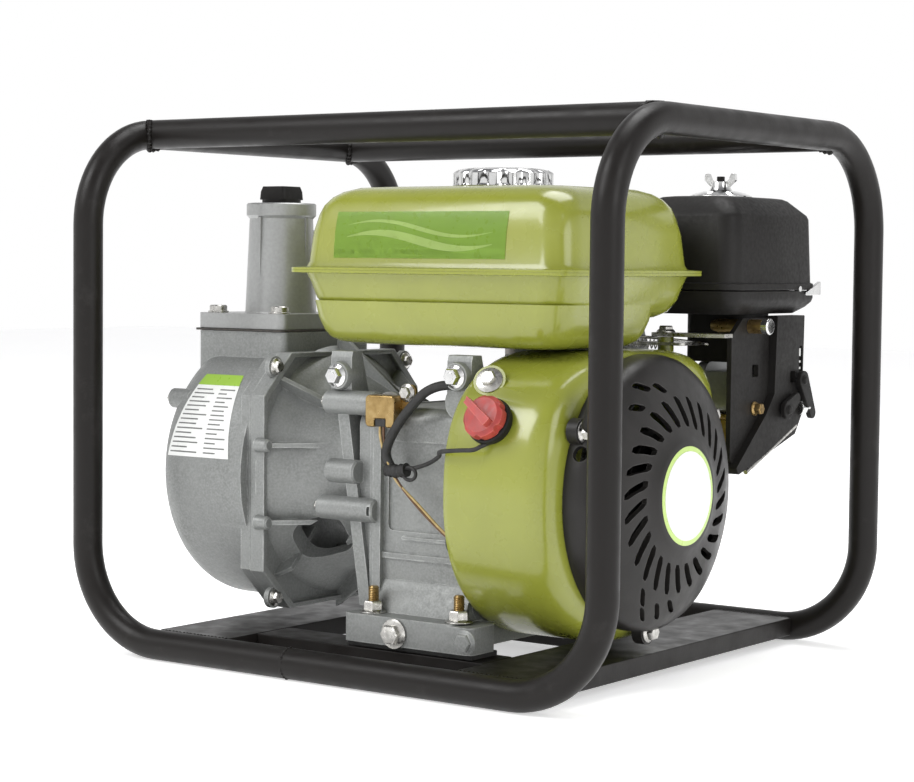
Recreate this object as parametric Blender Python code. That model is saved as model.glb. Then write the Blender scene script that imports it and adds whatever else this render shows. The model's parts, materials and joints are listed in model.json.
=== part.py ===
"""Petrol-engine water pump in a tubular roll frame, as separate solids on their joint axes.

The row frame: the origin is on the floor under the middle of the frame, +Z is up, +X runs along the
crankshaft from the pump to the recoil starter, and +Y runs from the crankcase to the cylinder head.
Every length below is in millimetres; mesh_object() turns them into metres once.
"""

from math import atan2, cos, pi, radians, sin

import bmesh
import bpy
from mathutils import Matrix, Vector

MM = 0.001
GAP = 0.3

# Roll frame
TUBE_R = 11.0
FRAME_HALF_X = 228.0
FRAME_HALF_Y = 187.0
FRAME_TOP_Z = 389.0
BEND_R = 70.0
HOOP_SEAM_X = -30.0
TOP_RAIL_Y = 122.0
PLATE_TOP_Z = 20.0
PLATE_DEPTH = 14.0
PLATE_T = 3.0
PUMP_PLATE_X = (-165.0, -98.0)
STARTER_PLATE_X = (106.0, 174.0)
FRONT_RAIL_Y = (-144.0, -108.0)
REAR_RAIL_Y = (18.0, 54.0)
PAD_INSET = 2.0

# Crankshaft line and the inclined cylinder
CRANK_Y = -42.0
CRANK_Z = 134.0
BORE_TILT = radians(25.0)
CYLINDER_X = 32.0
BORE_R = 34.2
STROKE = 54.0
ROD_LENGTH = 84.0
SHAFT_R = 12.0
SHAFT_CLEARANCE = 0.2

# Crankcase and its base, with the oil holes as (x, z)
CASE_X = (-7.7, 78.0)
CASE_Y = (-118.0, 14.0)
CASE_Z = (42.0, 190.0)
CASE_WALL = 8.0
BASE_X = (-16.0, 96.0)
BASE_Y = (-145.0, 57.0)
BASE_Z = (24.0, 44.0)
OIL_DRAIN = (30.0, 33.0)
OIL_FILLER = (55.0, 72.0)

# Pump
FLANGE_Y = (-142.0, 58.0)
FLANGE_Z = (28.0, 228.0)
FLANGE_JOINT_X = -112.0
FLANGE_T = 9.0
CASING_R = 101.0
CASING_END_X = -205.0
CASING_WALL = 8.0
PTO_X = -36.0
BELL_R = (80.0, 62.0)
BELL_WAIST_X = -52.0
RIB_COUNT = 8
RIB_T = 5.0
NIPPLE_R = 30.0
NIPPLE_BORE_R = 22.0
NIPPLE_FLANGE_R = 48.0
NIPPLE_LENGTH = 31.0
PUMP_DRAIN_Z = 62.0
OUTLET_X = -160.0
OUTLET_Y = -45.0
NECK_X = (-202.0, -113.5)
NECK_Y = (-95.0, 9.0)
NECK_TOP_Z = 239.5
NECK_BORE_R = 23.0
COLUMN_TOP_Z = 338.0
SPOUT_Z = 296.0
SPOUT_R = 24.0
SPOUT_BORE_R = 18.5
SPOUT_END_Y = 30.0

# Blower housing and starter
HOUSING_X = (80.0, 165.0)
HOUSING_HALF = {"left": 118.0, "right": 121.0, "top": 98.5, "bottom": 106.0}
STARTER_R = 97.0
STARTER_FACE_X = 206.0
STARTER_EAR_ANGLES = (151.0, 271.0, 31.0)
STARTER_SLOTS = 8

# Fuel tank
TANK_X = (-85.0, 163.0)
TANK_Y = (-131.0, 57.0)
TANK_SEAM_Z = 287.0
TANK_TOP_Z = 348.0
TANK_BOTTOM_Z = 234.0
TANK_WALL = 2.5
CAP_X = 29.0
CAP_Y = -15.0

# Exhaust
MUFFLER_X = (-88.0, 60.0)
MUFFLER_Y = (84.0, 172.0)
MUFFLER_Z = (256.0, 340.0)
TAIL_PIPE = (128.0, 300.0)
STUB_PIPE = (-44.0, 118.0)

# Air cleaner
AIR_X = (86.0, 183.0)
AIR_Y = (59.0, 195.0)
AIR_Z = (269.0, 345.0)
NUT_X = 132.5
NUT_Y = 127.0


# ---------------------------------------------------------------- materials

PAINTS = {
    "frame_black": ((0.022, 0.021, 0.020), 0.45, 0.0),
    "engine_green": ((0.300, 0.380, 0.052), 0.35, 0.0),
    "cast_aluminium": ((0.300, 0.305, 0.300), 0.50, 0.8),
    "machined_aluminium": ((0.520, 0.530, 0.530), 0.35, 1.0),
    "steel": ((0.450, 0.450, 0.450), 0.35, 1.0),
    "black_plastic": ((0.030, 0.030, 0.032), 0.55, 0.0),
    "red_plastic": ((0.380, 0.035, 0.030), 0.40, 0.0),
    "rubber": ((0.025, 0.025, 0.025), 0.80, 0.0),
    "brass": ((0.520, 0.330, 0.110), 0.35, 1.0),
    "chrome": ((0.700, 0.700, 0.700), 0.15, 1.0),
    "filter_foam": ((0.550, 0.480, 0.300), 0.90, 0.0),
    "gasket": ((0.060, 0.055, 0.050), 0.80, 0.0),
}


def make_materials():
    made = {}
    for name, (colour, roughness, metallic) in PAINTS.items():
        material = bpy.data.materials.new(name)
        material.use_nodes = True
        shader = material.node_tree.nodes["Principled BSDF"]
        shader.inputs["Base Color"].default_value = (*colour, 1.0)
        shader.inputs["Roughness"].default_value = roughness
        shader.inputs["Metallic"].default_value = metallic
        material.diffuse_color = (*colour, 1.0)
        made[name] = material
    return made


# ---------------------------------------------------------------- outlines

def rectangle(low, high):
    return [(low[0], low[1]), (high[0], low[1]), (high[0], high[1]), (low[0], high[1])]


def rounded(low, high, radius, steps=3):
    """A rectangle with round corners, as plane points."""
    centres = [
        (high[0] - radius, high[1] - radius),
        (low[0] + radius, high[1] - radius),
        (low[0] + radius, low[1] + radius),
        (high[0] - radius, low[1] + radius),
    ]
    points = []
    for quarter, (cx, cy) in enumerate(centres):
        for step in range(steps + 1):
            angle = (quarter + step / steps) * pi / 2
            points.append((cx + radius * cos(angle), cy + radius * sin(angle)))
    return points


def circle(centre, radius, sides):
    angles = [2 * pi * (k + 0.5) / sides for k in range(sides)]
    return [(centre[0] + radius * cos(angle), centre[1] + radius * sin(angle)) for angle in angles]


def super_quarter(half_a, half_b, power, steps, quarter):
    """One quarter of a superellipse, without its last point."""
    points = []
    for step in range(steps):
        angle = (quarter + step / steps) * pi / 2
        c, s = cos(angle), sin(angle)
        reach = (abs(c) ** power + abs(s) ** power) ** (-1.0 / power)
        points.append((half_a * reach * c, half_b * reach * s))
    return points


def housing_outline(inset=0.0):
    """The fan scroll's outline: square at the top right, where the air turns to the cylinder."""
    half = {side: size - inset for side, size in HOUSING_HALF.items()}
    quarters = [
        ("right", "top", 5.0),
        ("left", "top", 2.6),
        ("left", "bottom", 2.2),
        ("right", "bottom", 2.4),
    ]
    points = []
    for quarter, (side, end, power) in enumerate(quarters):
        for y, z in super_quarter(half[side], half[end], power, 7, quarter):
            points.append((CRANK_Y + y, CRANK_Z + z))
    return points


def filleted(points, radius, steps=6):
    """A path with each inner corner turned into an arc."""
    path = [Vector(points[0])]
    for before, corner, after in zip(points, points[1:], points[2:]):
        before, corner, after = Vector(before), Vector(corner), Vector(after)
        inward, outward = (before - corner).normalized(), (after - corner).normalized()
        centre = corner + (inward + outward) * radius
        for step in range(steps + 1):
            angle = step / steps * pi / 2
            path.append(centre - outward * radius * cos(angle) - inward * radius * sin(angle))
    path.append(Vector(points[-1]))
    return path


def spline(points, steps=4):
    """Points along a Catmull-Rom curve through the given ones."""
    p = [Vector(points[0]), *map(Vector, points), Vector(points[-1])]
    path = []
    for a, b, c, d in zip(p, p[1:], p[2:], p[3:]):
        for step in range(steps):
            t = step / steps
            path.append(0.5 * (2 * b + (c - a) * t + (2 * a - 5 * b + 4 * c - d) * t**2
                               + (3 * b - a - 3 * c + d) * t**3))
    path.append(p[-1])
    return path


# ---------------------------------------------------------------- solids

AXES = {
    "X": lambda a, b, along: Vector((along, a, b)),
    "Y": lambda a, b, along: Vector((a, along, b)),
    "Z": lambda a, b, along: Vector((a, b, along)),
}


def solid(rings, closed=False):
    """Join rings of equally many points into one closed solid, capped at both ends."""
    bm = bmesh.new()
    verts = [[bm.verts.new(point) for point in ring] for ring in rings]
    count = len(rings[0])
    pairs = list(zip(verts, verts[1:]))
    if closed:
        pairs.append((verts[-1], verts[0]))
    for lower, upper in pairs:
        for k in range(count):
            j = (k + 1) % count
            bm.faces.new((lower[k], lower[j], upper[j], upper[k]))
    if not closed:
        bm.faces.new(reversed(verts[0]))
        bm.faces.new(verts[-1])
    bmesh.ops.recalc_face_normals(bm, faces=bm.faces)
    return bm


def prism(outline, axis, start, end):
    place = AXES[axis]
    return solid([[place(a, b, start) for a, b in outline], [place(a, b, end) for a, b in outline]])


def box(low, high):
    return prism(rectangle(low[:2], high[:2]), "Z", low[2], high[2])


def turned(profile, axis, centre, sides=24):
    """Turn a closed loop of (radius, place along the axis) about an axis through centre.

    Points of no radius meet on the axis, where they are merged.
    """
    rings = []
    for k in range(sides):
        angle = 2 * pi * (k + 0.5) / sides
        rings.append([
            AXES[axis](centre[0] + r * cos(angle), centre[1] + r * sin(angle), along)
            for r, along in profile
        ])
    bm = solid(rings, closed=True)
    bmesh.ops.remove_doubles(bm, verts=bm.verts, dist=0.001)
    bmesh.ops.recalc_face_normals(bm, faces=bm.faces)
    return bm


def disc(axis, centre, radius, start, end, sides=24):
    return prism(circle(centre, radius, sides), axis, start, end)


def ring(axis, centre, inner, outer, start, end, sides=24):
    return turned([(inner, start), (outer, start), (outer, end), (inner, end)], axis, centre, sides)


def sweep(path, radius, sides, normal):
    """A round bar along a path, with one of its flats square to normal at the start."""
    rings = []
    for k, point in enumerate(path):
        before = path[max(k - 1, 0)]
        after = path[min(k + 1, len(path) - 1)]
        tangent = (after - before).normalized()
        normal = (normal - tangent * normal.dot(tangent)).normalized()
        side = tangent.cross(normal)
        stretch = 1.0 / cos(pi / sides)
        rings.append([
            point + radius * stretch * (normal * cos(2 * pi * (j + 0.5) / sides)
                                        + side * sin(2 * pi * (j + 0.5) / sides))
            for j in range(sides)
        ])
    return solid(rings)


def placed(bm, matrix):
    bmesh.ops.transform(bm, matrix=matrix, verts=bm.verts)
    return bm


def along_bore(bm):
    """Tilt a solid made with the crank axis as its X axis and the bore along Y."""
    tilt = Matrix.Translation((0.0, CRANK_Y, CRANK_Z)) @ Matrix.Rotation(BORE_TILT, 4, "X")
    return placed(bm, tilt)


# ---------------------------------------------------------------- objects

def mesh_object(name, bm, origin=(0.0, 0.0, 0.0)):
    """A mesh object in metres whose origin is the given point, in millimetres."""
    placed(bm, Matrix.Scale(MM, 4) @ Matrix.Translation(-Vector(origin)))
    mesh = bpy.data.meshes.new(name)
    bm.to_mesh(mesh)
    bm.free()
    made = bpy.data.objects.new(name, mesh)
    made.location = Vector(origin) * MM
    bpy.context.collection.objects.link(made)
    return made


def part(name, base, material, add=(), cut=(), origin=(0.0, 0.0, 0.0), axis_empty=None):
    """A named sub-part: the base solid, with solids joined to it and then cut from it."""
    made = mesh_object(name, base, origin)
    made.data.materials.append(materials[material])
    made.data.shade_smooth()
    made.data.set_sharp_from_angle(angle=radians(35.0))
    for operation, solids in (("UNION", add), ("DIFFERENCE", cut)):
        for number, bm in enumerate(solids):
            helper = mesh_object(f"{operation.lower()}_{number}_{name}", bm)
            helper.hide_render = True
            helper.display_type = "WIRE"
            modifier = made.modifiers.new(helper.name, "BOOLEAN")
            modifier.operation = operation
            modifier.object = helper
            modifier.solver = "EXACT"
    if axis_empty:
        made.parent = axis_empty
        made.location = made.location - axis_empty.location
    return made


def axis_at(name, point):
    """An empty on a joint's axis, which carries the pieces that turn about it."""
    empty = bpy.data.objects.new(name, None)
    empty.location = Vector(point) * MM
    bpy.context.collection.objects.link(empty)
    return empty


# ---------------------------------------------------------------- roll frame

def make_hoop(name, side):
    """One end of the frame: bottom rails, legs and top in a single bent tube."""
    x = side * FRAME_HALF_X
    seam = HOOP_SEAM_X + side * GAP
    corners = [
        (seam, -FRAME_HALF_Y, TUBE_R),
        (x, -FRAME_HALF_Y, TUBE_R),
        (x, -FRAME_HALF_Y, FRAME_TOP_Z),
        (x, FRAME_HALF_Y, FRAME_TOP_Z),
        (x, FRAME_HALF_Y, TUBE_R),
        (seam, FRAME_HALF_Y, TUBE_R),
    ]
    path = filleted(corners, BEND_R)
    part(name, sweep(path, TUBE_R, 12, Vector((0.0, 0.0, 1.0))), "frame_black")


def make_top_rail(name, y):
    reach = FRAME_HALF_X - TUBE_R - 2 * GAP
    path = [Vector((-reach, y, FRAME_TOP_Z)), Vector((reach, y, FRAME_TOP_Z))]
    part(name, sweep(path, TUBE_R, 12, Vector((0.0, 0.0, 1.0))), "frame_black")


def channel_outline(low, high):
    """A channel with its web on top and both flanges hanging down."""
    top, bottom = PLATE_TOP_Z, PLATE_TOP_Z - PLATE_DEPTH
    return [
        (low, bottom), (low, top), (high, top), (high, bottom),
        (high - PLATE_T, bottom), (high - PLATE_T, top - PLATE_T),
        (low + PLATE_T, top - PLATE_T), (low + PLATE_T, bottom),
    ]


def make_frame():
    make_hoop("left_hoop", -1)
    make_hoop("right_hoop", 1)
    make_top_rail("front_top_rail", -TOP_RAIL_Y)
    make_top_rail("rear_top_rail", TOP_RAIL_Y)
    reach = FRAME_HALF_Y - TUBE_R - 1.0
    for name, span in (("pump_cross_plate", PUMP_PLATE_X), ("starter_cross_plate", STARTER_PLATE_X)):
        part(name, prism(channel_outline(*span), "Y", -reach, reach), "frame_black")
    rail_x = (PUMP_PLATE_X[1] + 0.5, STARTER_PLATE_X[0] - 0.5)
    for end, span in (("front", FRONT_RAIL_Y), ("rear", REAR_RAIL_Y)):
        part(f"{end}_engine_rail", prism(channel_outline(*span), "X", *rail_x), "frame_black")
        low = (BASE_X[0] + PAD_INSET, span[0] + PAD_INSET, PLATE_TOP_Z + GAP)
        high = (BASE_X[1] - PAD_INSET, span[1] - PAD_INSET, BASE_Z[0] - GAP)
        part(f"{end}_rubber_mount", box(low, high), "rubber")


# ---------------------------------------------------------------- pump

CRANK = (CRANK_Y, CRANK_Z)


def flange_outline(inset=0.0, chamfer=34.0):
    y0, y1 = FLANGE_Y[0] + inset, FLANGE_Y[1] - inset
    z0, z1 = FLANGE_Z[0] + inset, FLANGE_Z[1] - inset
    return [
        (y1 - chamfer, z1), (y0 + chamfer, z1), (y0, z1 - chamfer), (y0, z0 + chamfer),
        (y0 + chamfer, z0), (y1 - chamfer, z0), (y1, z0 + chamfer), (y1, z1 - chamfer),
    ]


def make_bracket():
    """The bell that bolts the pump to the engine's output face."""
    plate = prism(flange_outline(), "X", FLANGE_JOINT_X + GAP, FLANGE_JOINT_X + FLANGE_T)
    foot, waist, end = FLANGE_JOINT_X + 6.0, BELL_WAIST_X, PTO_X - GAP
    wide, narrow = BELL_R
    bell = turned(
        [(wide - 7.0, foot), (wide, foot), (narrow, waist), (narrow, end), (44.0, end), (44.0, waist + 8.0),
         (54.0, waist)],
        "X", CRANK, 32,
    )
    ribs = []
    for k in range(RIB_COUNT):
        blade = [(narrow - 2.0, waist + 12.0), (narrow - 2.0, foot), (wide + 24.0, foot),
                 (narrow + 4.0, waist + 8.0)]
        rib = solid([[Vector((along, r, half)) for r, along in blade] for half in (-RIB_T / 2, RIB_T / 2)])
        turn = Matrix.Translation((0.0, *CRANK)) @ Matrix.Rotation((k + 0.5) * 2 * pi / RIB_COUNT, 4, "X")
        ribs.append(placed(rib, turn))
    windows = []
    for angle in (200.0, 340.0):
        window = box((-92.0, 40.0, -17.0), (-60.0, 96.0, 17.0))
        turn = Matrix.Translation((0.0, *CRANK)) @ Matrix.Rotation(radians(angle + 90.0), 4, "X")
        windows.append(placed(window, turn))
    hole = disc("X", CRANK, SHAFT_R + 2.0, FLANGE_JOINT_X - 18.0, FLANGE_JOINT_X + 22.0)
    part("pump_bracket", plate, "cast_aluminium", add=[bell, *ribs], cut=[hole, *windows])


def make_casing():
    """The pump's pressure casing: a cup closed by the bracket, with its neck on top."""
    end, mouth, inner = CASING_END_X, FLANGE_JOINT_X - 3.0, CASING_R - CASING_WALL
    body = prism(flange_outline(1.0), "X", FLANGE_JOINT_X - FLANGE_T, FLANGE_JOINT_X - GAP)
    bowl = turned(
        [(CASING_R, mouth), (CASING_R, end + 24.0), (CASING_R - 4.0, end + 11.0),
         (CASING_R - 14.0, end + 2.0), (CASING_R - 26.0, end), (0.0, end), (0.0, mouth)],
        "X", CRANK, 40,
    )
    neck = box((NECK_X[0], NECK_Y[0], CRANK_Z + 56.0), (NECK_X[1], NECK_Y[1], NECK_TOP_Z))
    floor = end + CASING_WALL + 1.0
    cavity = turned(
        [(0.0, mouth + 15.0), (inner, mouth + 15.0), (inner, end + 24.0), (inner - 13.0, floor), (0.0, floor)],
        "X", CRANK, 32,
    )
    inlet = disc("X", CRANK, NIPPLE_BORE_R + 6.0, end - 10.0, end + 20.0)
    port = disc("Z", (OUTLET_X, OUTLET_Y), NECK_BORE_R, 200.0, NECK_TOP_Z + 10.0)
    drain = disc("X", (CRANK_Y, PUMP_DRAIN_Z), 6.3, end - 10.0, end + 20.0, 12)
    part("pump_casing", body, "cast_aluminium", add=[bowl, neck],
         cut=[cavity, inlet, port, drain])


def make_inlet():
    """Suction nipple on the casing's end, with its non-return flap inside."""
    end = CASING_END_X
    near, step, far = end - GAP, end - FLANGE_T, end - NIPPLE_LENGTH
    nipple = turned(
        [(NIPPLE_BORE_R, near), (NIPPLE_FLANGE_R, near), (NIPPLE_FLANGE_R, step), (NIPPLE_R, step),
         (NIPPLE_R, far), (NIPPLE_BORE_R, far)],
        "X", CRANK, 28,
    )
    part("inlet_nipple", nipple, "machined_aluminium")
    hinge = (end + 1.3, CRANK_Y, CRANK_Z + NIPPLE_BORE_R + 0.5)
    flap = disc("X", CRANK, NIPPLE_BORE_R + 1.5, end + 0.3, end + 2.3, 20)
    lug = disc("Y", (hinge[0] + 0.2, hinge[2]), 1.4, CRANK_Y - 6.0, CRANK_Y + 6.0, 8)
    part("inlet_flap", flap, "rubber", add=[lug], origin=hinge)


def make_outlet():
    """Discharge column on the neck, with a side nipple and the priming plug on top."""
    top, bottom = COLUMN_TOP_Z, NECK_TOP_Z + 2.2
    centre = (OUTLET_X, OUTLET_Y)
    low, high = (NECK_X[0] - 3.0, NECK_Y[0] - 2.0), (NECK_X[1] - GAP, NECK_Y[1])
    gasket = prism(rounded(low, high, 6.0), "Z", NECK_TOP_Z + GAP, bottom - GAP)
    part("outlet_gasket", gasket, "gasket", cut=[disc("Z", centre, NECK_BORE_R, 230.0, 250.0)])
    low, high = (NECK_X[0] - 2.0, NECK_Y[0]), (NECK_X[1] - 2.5, NECK_Y[1] - 3.0)
    base = prism(rounded(low, high, 8.0), "Z", bottom, bottom + 10.3)
    column = turned(
        [(0.0, bottom + 2.0), (27.0, bottom + 2.0), (27.0, bottom + 16.3), (24.0, top - 12.0),
         (27.0, top - 10.0), (27.0, top), (0.0, top)],
        "Z", centre, 24,
    )
    spout = disc("Y", (OUTLET_X, SPOUT_Z), SPOUT_R, OUTLET_Y, SPOUT_END_Y)
    bore = disc("Z", centre, 19.0, bottom - 10.0, top - 20.0)
    filler = disc("Z", centre, 12.0, top - 28.0, top + 12.0, 16)
    port = disc("Y", (OUTLET_X, SPOUT_Z), SPOUT_BORE_R, OUTLET_Y, SPOUT_END_Y + 10.0)
    part("outlet_column", base, "machined_aluminium", add=[column, spout], cut=[bore, filler, port])
    plug = disc("Z", centre, 11.6, top - 14.0, top + 2.0, 16)
    head = prism(rounded((OUTLET_X - 13.0, OUTLET_Y - 13.0), (OUTLET_X + 13.0, OUTLET_Y + 13.0), 4.0), "Z",
                 top + GAP, top + 13.0)
    part("filler_plug", head, "black_plastic", add=[plug], origin=(OUTLET_X, OUTLET_Y, top))


def make_drain_plug():
    end = CASING_END_X
    centre = (CRANK_Y, PUMP_DRAIN_Z)
    head = disc("X", centre, 10.0, end - 9.0, end - GAP, 6)
    part("drain_plug", head, "steel", add=[disc("X", centre, 5.9, end - 2.0, end + 7.0, 12)],
         origin=(end, *centre))


def make_impeller(crank):
    """Open impeller on the end of the output shaft."""
    back = ring("X", CRANK, SHAFT_R + SHAFT_CLEARANCE, 62.0, -142.0, -137.0, 24)
    hub = turned([(SHAFT_R + SHAFT_CLEARANCE, -152.0), (18.0, -152.0), (20.0, -138.0), (20.0, -131.0),
                  (SHAFT_R + SHAFT_CLEARANCE, -131.0)], "X", CRANK, 24)
    vanes = []
    for k in range(5):
        inner, outer = [], []
        for step in range(4):
            radius = 17.0 + step * 14.0
            angle = 2 * pi * k / 5 - step * 0.28
            for side, points in ((-1.6, inner), (1.6, outer)):
                spread = angle + side / radius
                points.append((CRANK_Y + radius * cos(spread), CRANK_Z + radius * sin(spread)))
        vanes.append(prism(inner + outer[::-1], "X", -158.0, -139.0))
    part("impeller", back, "cast_aluminium", add=[hub, *vanes], origin=(-142.0, *CRANK), axis_empty=crank)


def make_seal():
    part("shaft_seal", ring("X", CRANK, SHAFT_R + 0.5, 22.0, -129.5, FLANGE_JOINT_X - GAP, 24), "rubber")


# ---------------------------------------------------------------- engine block

def make_crankcase():
    """Crankcase, base and finned cylinder in one casting."""
    block = prism(rounded((CASE_Y[0], CASE_Z[0]), (CASE_Y[1], CASE_Z[1]), 12.0, 2), "X", *CASE_X)
    base = box((BASE_X[0], BASE_Y[0], BASE_Z[0]), (HOUSING_X[0] - 1.0, BASE_Y[1], BASE_Z[1]))
    feet = [
        box((60.0, BASE_Y[0], BASE_Z[0]), (BASE_X[1], CASE_Y[0] + 4.0, BASE_Z[1] - 1.0)),
        box((60.0, 36.0, BASE_Z[0]), (BASE_X[1], BASE_Y[1], BASE_Z[1] - 1.0)),
    ]
    comb = [(30.0, 38.0)]
    for k in range(6):
        place = 74.0 + 13.0 * k
        reach = 41.0 if k < 2 else 45.0
        comb += [(place, 38.0), (place, reach), (place + 3.0, reach), (place + 3.0, 38.0)]
    comb += [(149.7, 38.0)]
    lower = [(s, -u) for s, u in reversed(comb)]
    barrel = along_bore(prism([(s, u) for s, u in comb + lower], "X", CYLINDER_X - 39.0, CYLINDER_X + 39.0))
    hollow = box((-30.0, CASE_Y[0] + CASE_WALL, CASE_Z[0] + CASE_WALL),
                 (CASE_X[1] - CASE_WALL, CASE_Y[1] - CASE_WALL, CASE_Z[1] - CASE_WALL))
    bore = along_bore(prism(circle((CYLINDER_X, 0.0), BORE_R, 32), "Y", 20.0, 170.0))
    bearing = disc("X", CRANK, SHAFT_R + SHAFT_CLEARANCE, 60.0, 95.0)
    drain = disc("Y", OIL_DRAIN, 5.3, BASE_Y[0] - 5.0, BASE_Y[0] + 15.0, 12)
    filler = disc("Y", OIL_FILLER, 9.5, CASE_Y[1] - 14.0, CASE_Y[1] + 6.0, 16)
    part("crankcase", block, "cast_aluminium", add=[base, *feet, barrel],
         cut=[hollow, bore, bearing, drain, filler])


def make_side_cover():
    """Output-side cover, which holds the outer main bearing and the camshaft's end."""
    low, high = (CASE_Y[0] + 1.0, BASE_Z[1] + 1.0), (CASE_Y[1] - 1.0, CASE_Z[1] - 1.0)
    plate = prism(rounded(low, high, 14.0, 3), "X", PTO_X + 12.0, CASE_X[0] - GAP)
    boss = disc("X", CRANK, 42.0, PTO_X, PTO_X + 16.0, 32)
    bearing = disc("X", CRANK, SHAFT_R + SHAFT_CLEARANCE, -60.0, 10.0)
    cam_seat = disc("X", CAM_CENTRE, 6.4, -16.0, 5.0, 16)
    part("side_cover", plate, "cast_aluminium", add=[boss], cut=[bearing, cam_seat])


CAM_DISTANCE = 48.5
CAM_ANGLE = radians(-110.0)
CAM_CENTRE = (CRANK_Y + CAM_DISTANCE * cos(CAM_ANGLE), CRANK_Z + CAM_DISTANCE * sin(CAM_ANGLE))
WEB_R = 40.0
WEB_X = (11.5, 19.0)
PINION_R = 16.0
CAM_GEAR_R = 2 * PINION_R


def web_outline():
    """Crank web: a counterweight below and a narrow cheek round the crankpin above."""
    points = []
    for k in range(13):
        angle = pi * (0.06 + 0.88 * k / 12) + pi
        points.append((WEB_R * cos(angle), WEB_R * sin(angle)))
    points += [(15.0, 20.0), (10.0, 38.0), (-10.0, 38.0), (-15.0, 20.0)]
    tilt = BORE_TILT - pi / 2
    return [
        (CRANK_Y + a * cos(tilt) - b * sin(tilt), CRANK_Z + a * sin(tilt) + b * cos(tilt))
        for a, b in points
    ]


def make_crank(crank):
    """The crankshaft, open at its pin so that the rod's pin can slide without it."""
    origin = (CYLINDER_X, *CRANK)
    near, far = CYLINDER_X - WEB_X[1], CYLINDER_X - WEB_X[0]
    web = prism(web_outline(), "X", near, far)
    output = disc("X", CRANK, SHAFT_R, -147.0, near + 2.0)
    pinion = disc("X", CRANK, PINION_R, -6.5, 0.0, 24)
    part("output_shaft", web, "steel", add=[output, pinion], origin=origin, axis_empty=crank)
    near, far = CYLINDER_X + WEB_X[0], CYLINDER_X + WEB_X[1]
    web = prism(web_outline(), "X", near, far)
    stub = disc("X", CRANK, SHAFT_R, far - 2.0, 147.0)
    part("flywheel_shaft", web, "steel", add=[stub], origin=origin, axis_empty=crank)


def make_flywheel(crank):
    origin = (110.0, *CRANK)
    wheel = ring("X", CRANK, SHAFT_R + SHAFT_CLEARANCE, 84.0, 98.0, 118.0, 36)
    blades = []
    for k in range(12):
        blade = box((116.0, 52.0, -1.5), (140.0, 82.0, 1.5))
        turn = Matrix.Translation((0.0, *CRANK)) @ Matrix.Rotation(2 * pi * k / 12, 4, "X")
        blades.append(placed(blade, turn))
    part("flywheel", wheel, "cast_aluminium", add=blades, origin=origin, axis_empty=crank)
    cup = turned(
        [(SHAFT_R + SHAFT_CLEARANCE, 125.0), (40.0, 125.0), (40.0, 162.0), (37.0, 162.0), (37.0, 129.0),
         (SHAFT_R + SHAFT_CLEARANCE, 129.0)],
        "X", CRANK, 28,
    )
    part("starter_cup", cup, "steel", origin=origin, axis_empty=crank)


def make_camshaft():
    gear = disc("X", CAM_CENTRE, CAM_GEAR_R, -6.5, 0.0, 32)
    shaft = disc("X", CAM_CENTRE, 6.0, -15.5, 60.0, 16)
    lobes = []
    for x, angle in ((14.0, 0.4), (44.0, 2.2)):
        centre = (CAM_CENTRE[0] + 1.6 * cos(angle), CAM_CENTRE[1] + 1.6 * sin(angle))
        lobes.append(disc("X", centre, 6.6, x, x + 8.0, 16))
    part("camshaft", gear, "steel", add=[shaft, *lobes], origin=(0.0, *CAM_CENTRE))


def make_piston_and_rod():
    """Piston and rod at top dead centre; the crankpin is part of the rod."""
    big_end = STROKE / 2
    small_end = big_end + ROD_LENGTH
    x = CYLINDER_X
    crankpin = along_bore(disc("X", (big_end, 0.0), 11.0, x - 11.0, x + 11.0, 20))
    eye = along_bore(disc("X", (big_end, 0.0), 19.0, x - 8.0, x + 8.0, 24))
    beam = along_bore(box((x - 6.0, big_end + 10.0, -8.0), (x + 6.0, small_end - 6.0, 8.0)))
    top_eye = along_bore(disc("X", (small_end, 0.0), 12.5, x - 9.0, x + 9.0, 20))
    wrist_pin = along_bore(disc("X", (small_end, 0.0), 7.0, x - 26.0, x + 26.0, 16))
    part("connecting_rod", eye, "machined_aluminium", add=[crankpin, beam, top_eye, wrist_pin])
    skirt, crown = small_end - 15.0, small_end + 22.0
    piston = along_bore(prism(circle((x, 0.0), BORE_R - 0.3, 32), "Y", skirt, crown))
    hollow = along_bore(prism(circle((x, 0.0), BORE_R - 6.0, 24), "Y", skirt - 5.0, crown - 6.0))
    part("piston", piston, "machined_aluminium", cut=[hollow])


HEAD_S = (150.0, 182.0)
ROCKER_S = (182.3, 207.0)


def make_head():
    """Cylinder head, rocker cover and spark plug on the inclined cylinder."""
    comb = [(HEAD_S[0], 34.0), (HEAD_S[0], 43.0), (154.0, 43.0)]
    for place in (160.0, 170.0):
        comb += [(place - 3.0, 36.0), (place, 36.0), (place, 43.0), (place + 3.0, 43.0), (place + 3.0, 36.0)]
    comb += [(178.0, 36.0), (178.0, 41.0), (HEAD_S[1], 41.0)]
    lower = [(s, -u) for s, u in reversed(comb)]
    head = along_bore(prism(comb + lower, "X", CYLINDER_X - 46.0, CYLINDER_X + 46.0))
    chamber = along_bore(disc("Y", (CYLINDER_X, 0.0), 30.0, HEAD_S[0] - 5.0, HEAD_S[0] + 9.0))
    plug_hole = along_bore(disc("Z", (CYLINDER_X, 164.0), 7.0, -60.0, -30.0, 12))
    part("cylinder_head", head, "cast_aluminium", cut=[chamber, plug_hole])
    low, high = (CYLINDER_X - 38.0, -30.0), (CYLINDER_X + 38.0, 30.0)
    lid = along_bore(prism(rounded(low, high, 10.0), "Y", *ROCKER_S))
    part("rocker_cover", lid, "steel")
    centre = (CYLINDER_X, 164.0)
    plug = along_bore(disc("Z", centre, 6.0, -52.0, -32.0, 12))
    nut = along_bore(disc("Z", centre, 10.0, -50.0, -43.4, 6))
    cap = along_bore(disc("Z", centre, 9.0, -84.0, -49.0, 12))
    part("spark_plug", nut, "rubber", add=[plug, cap])


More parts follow.
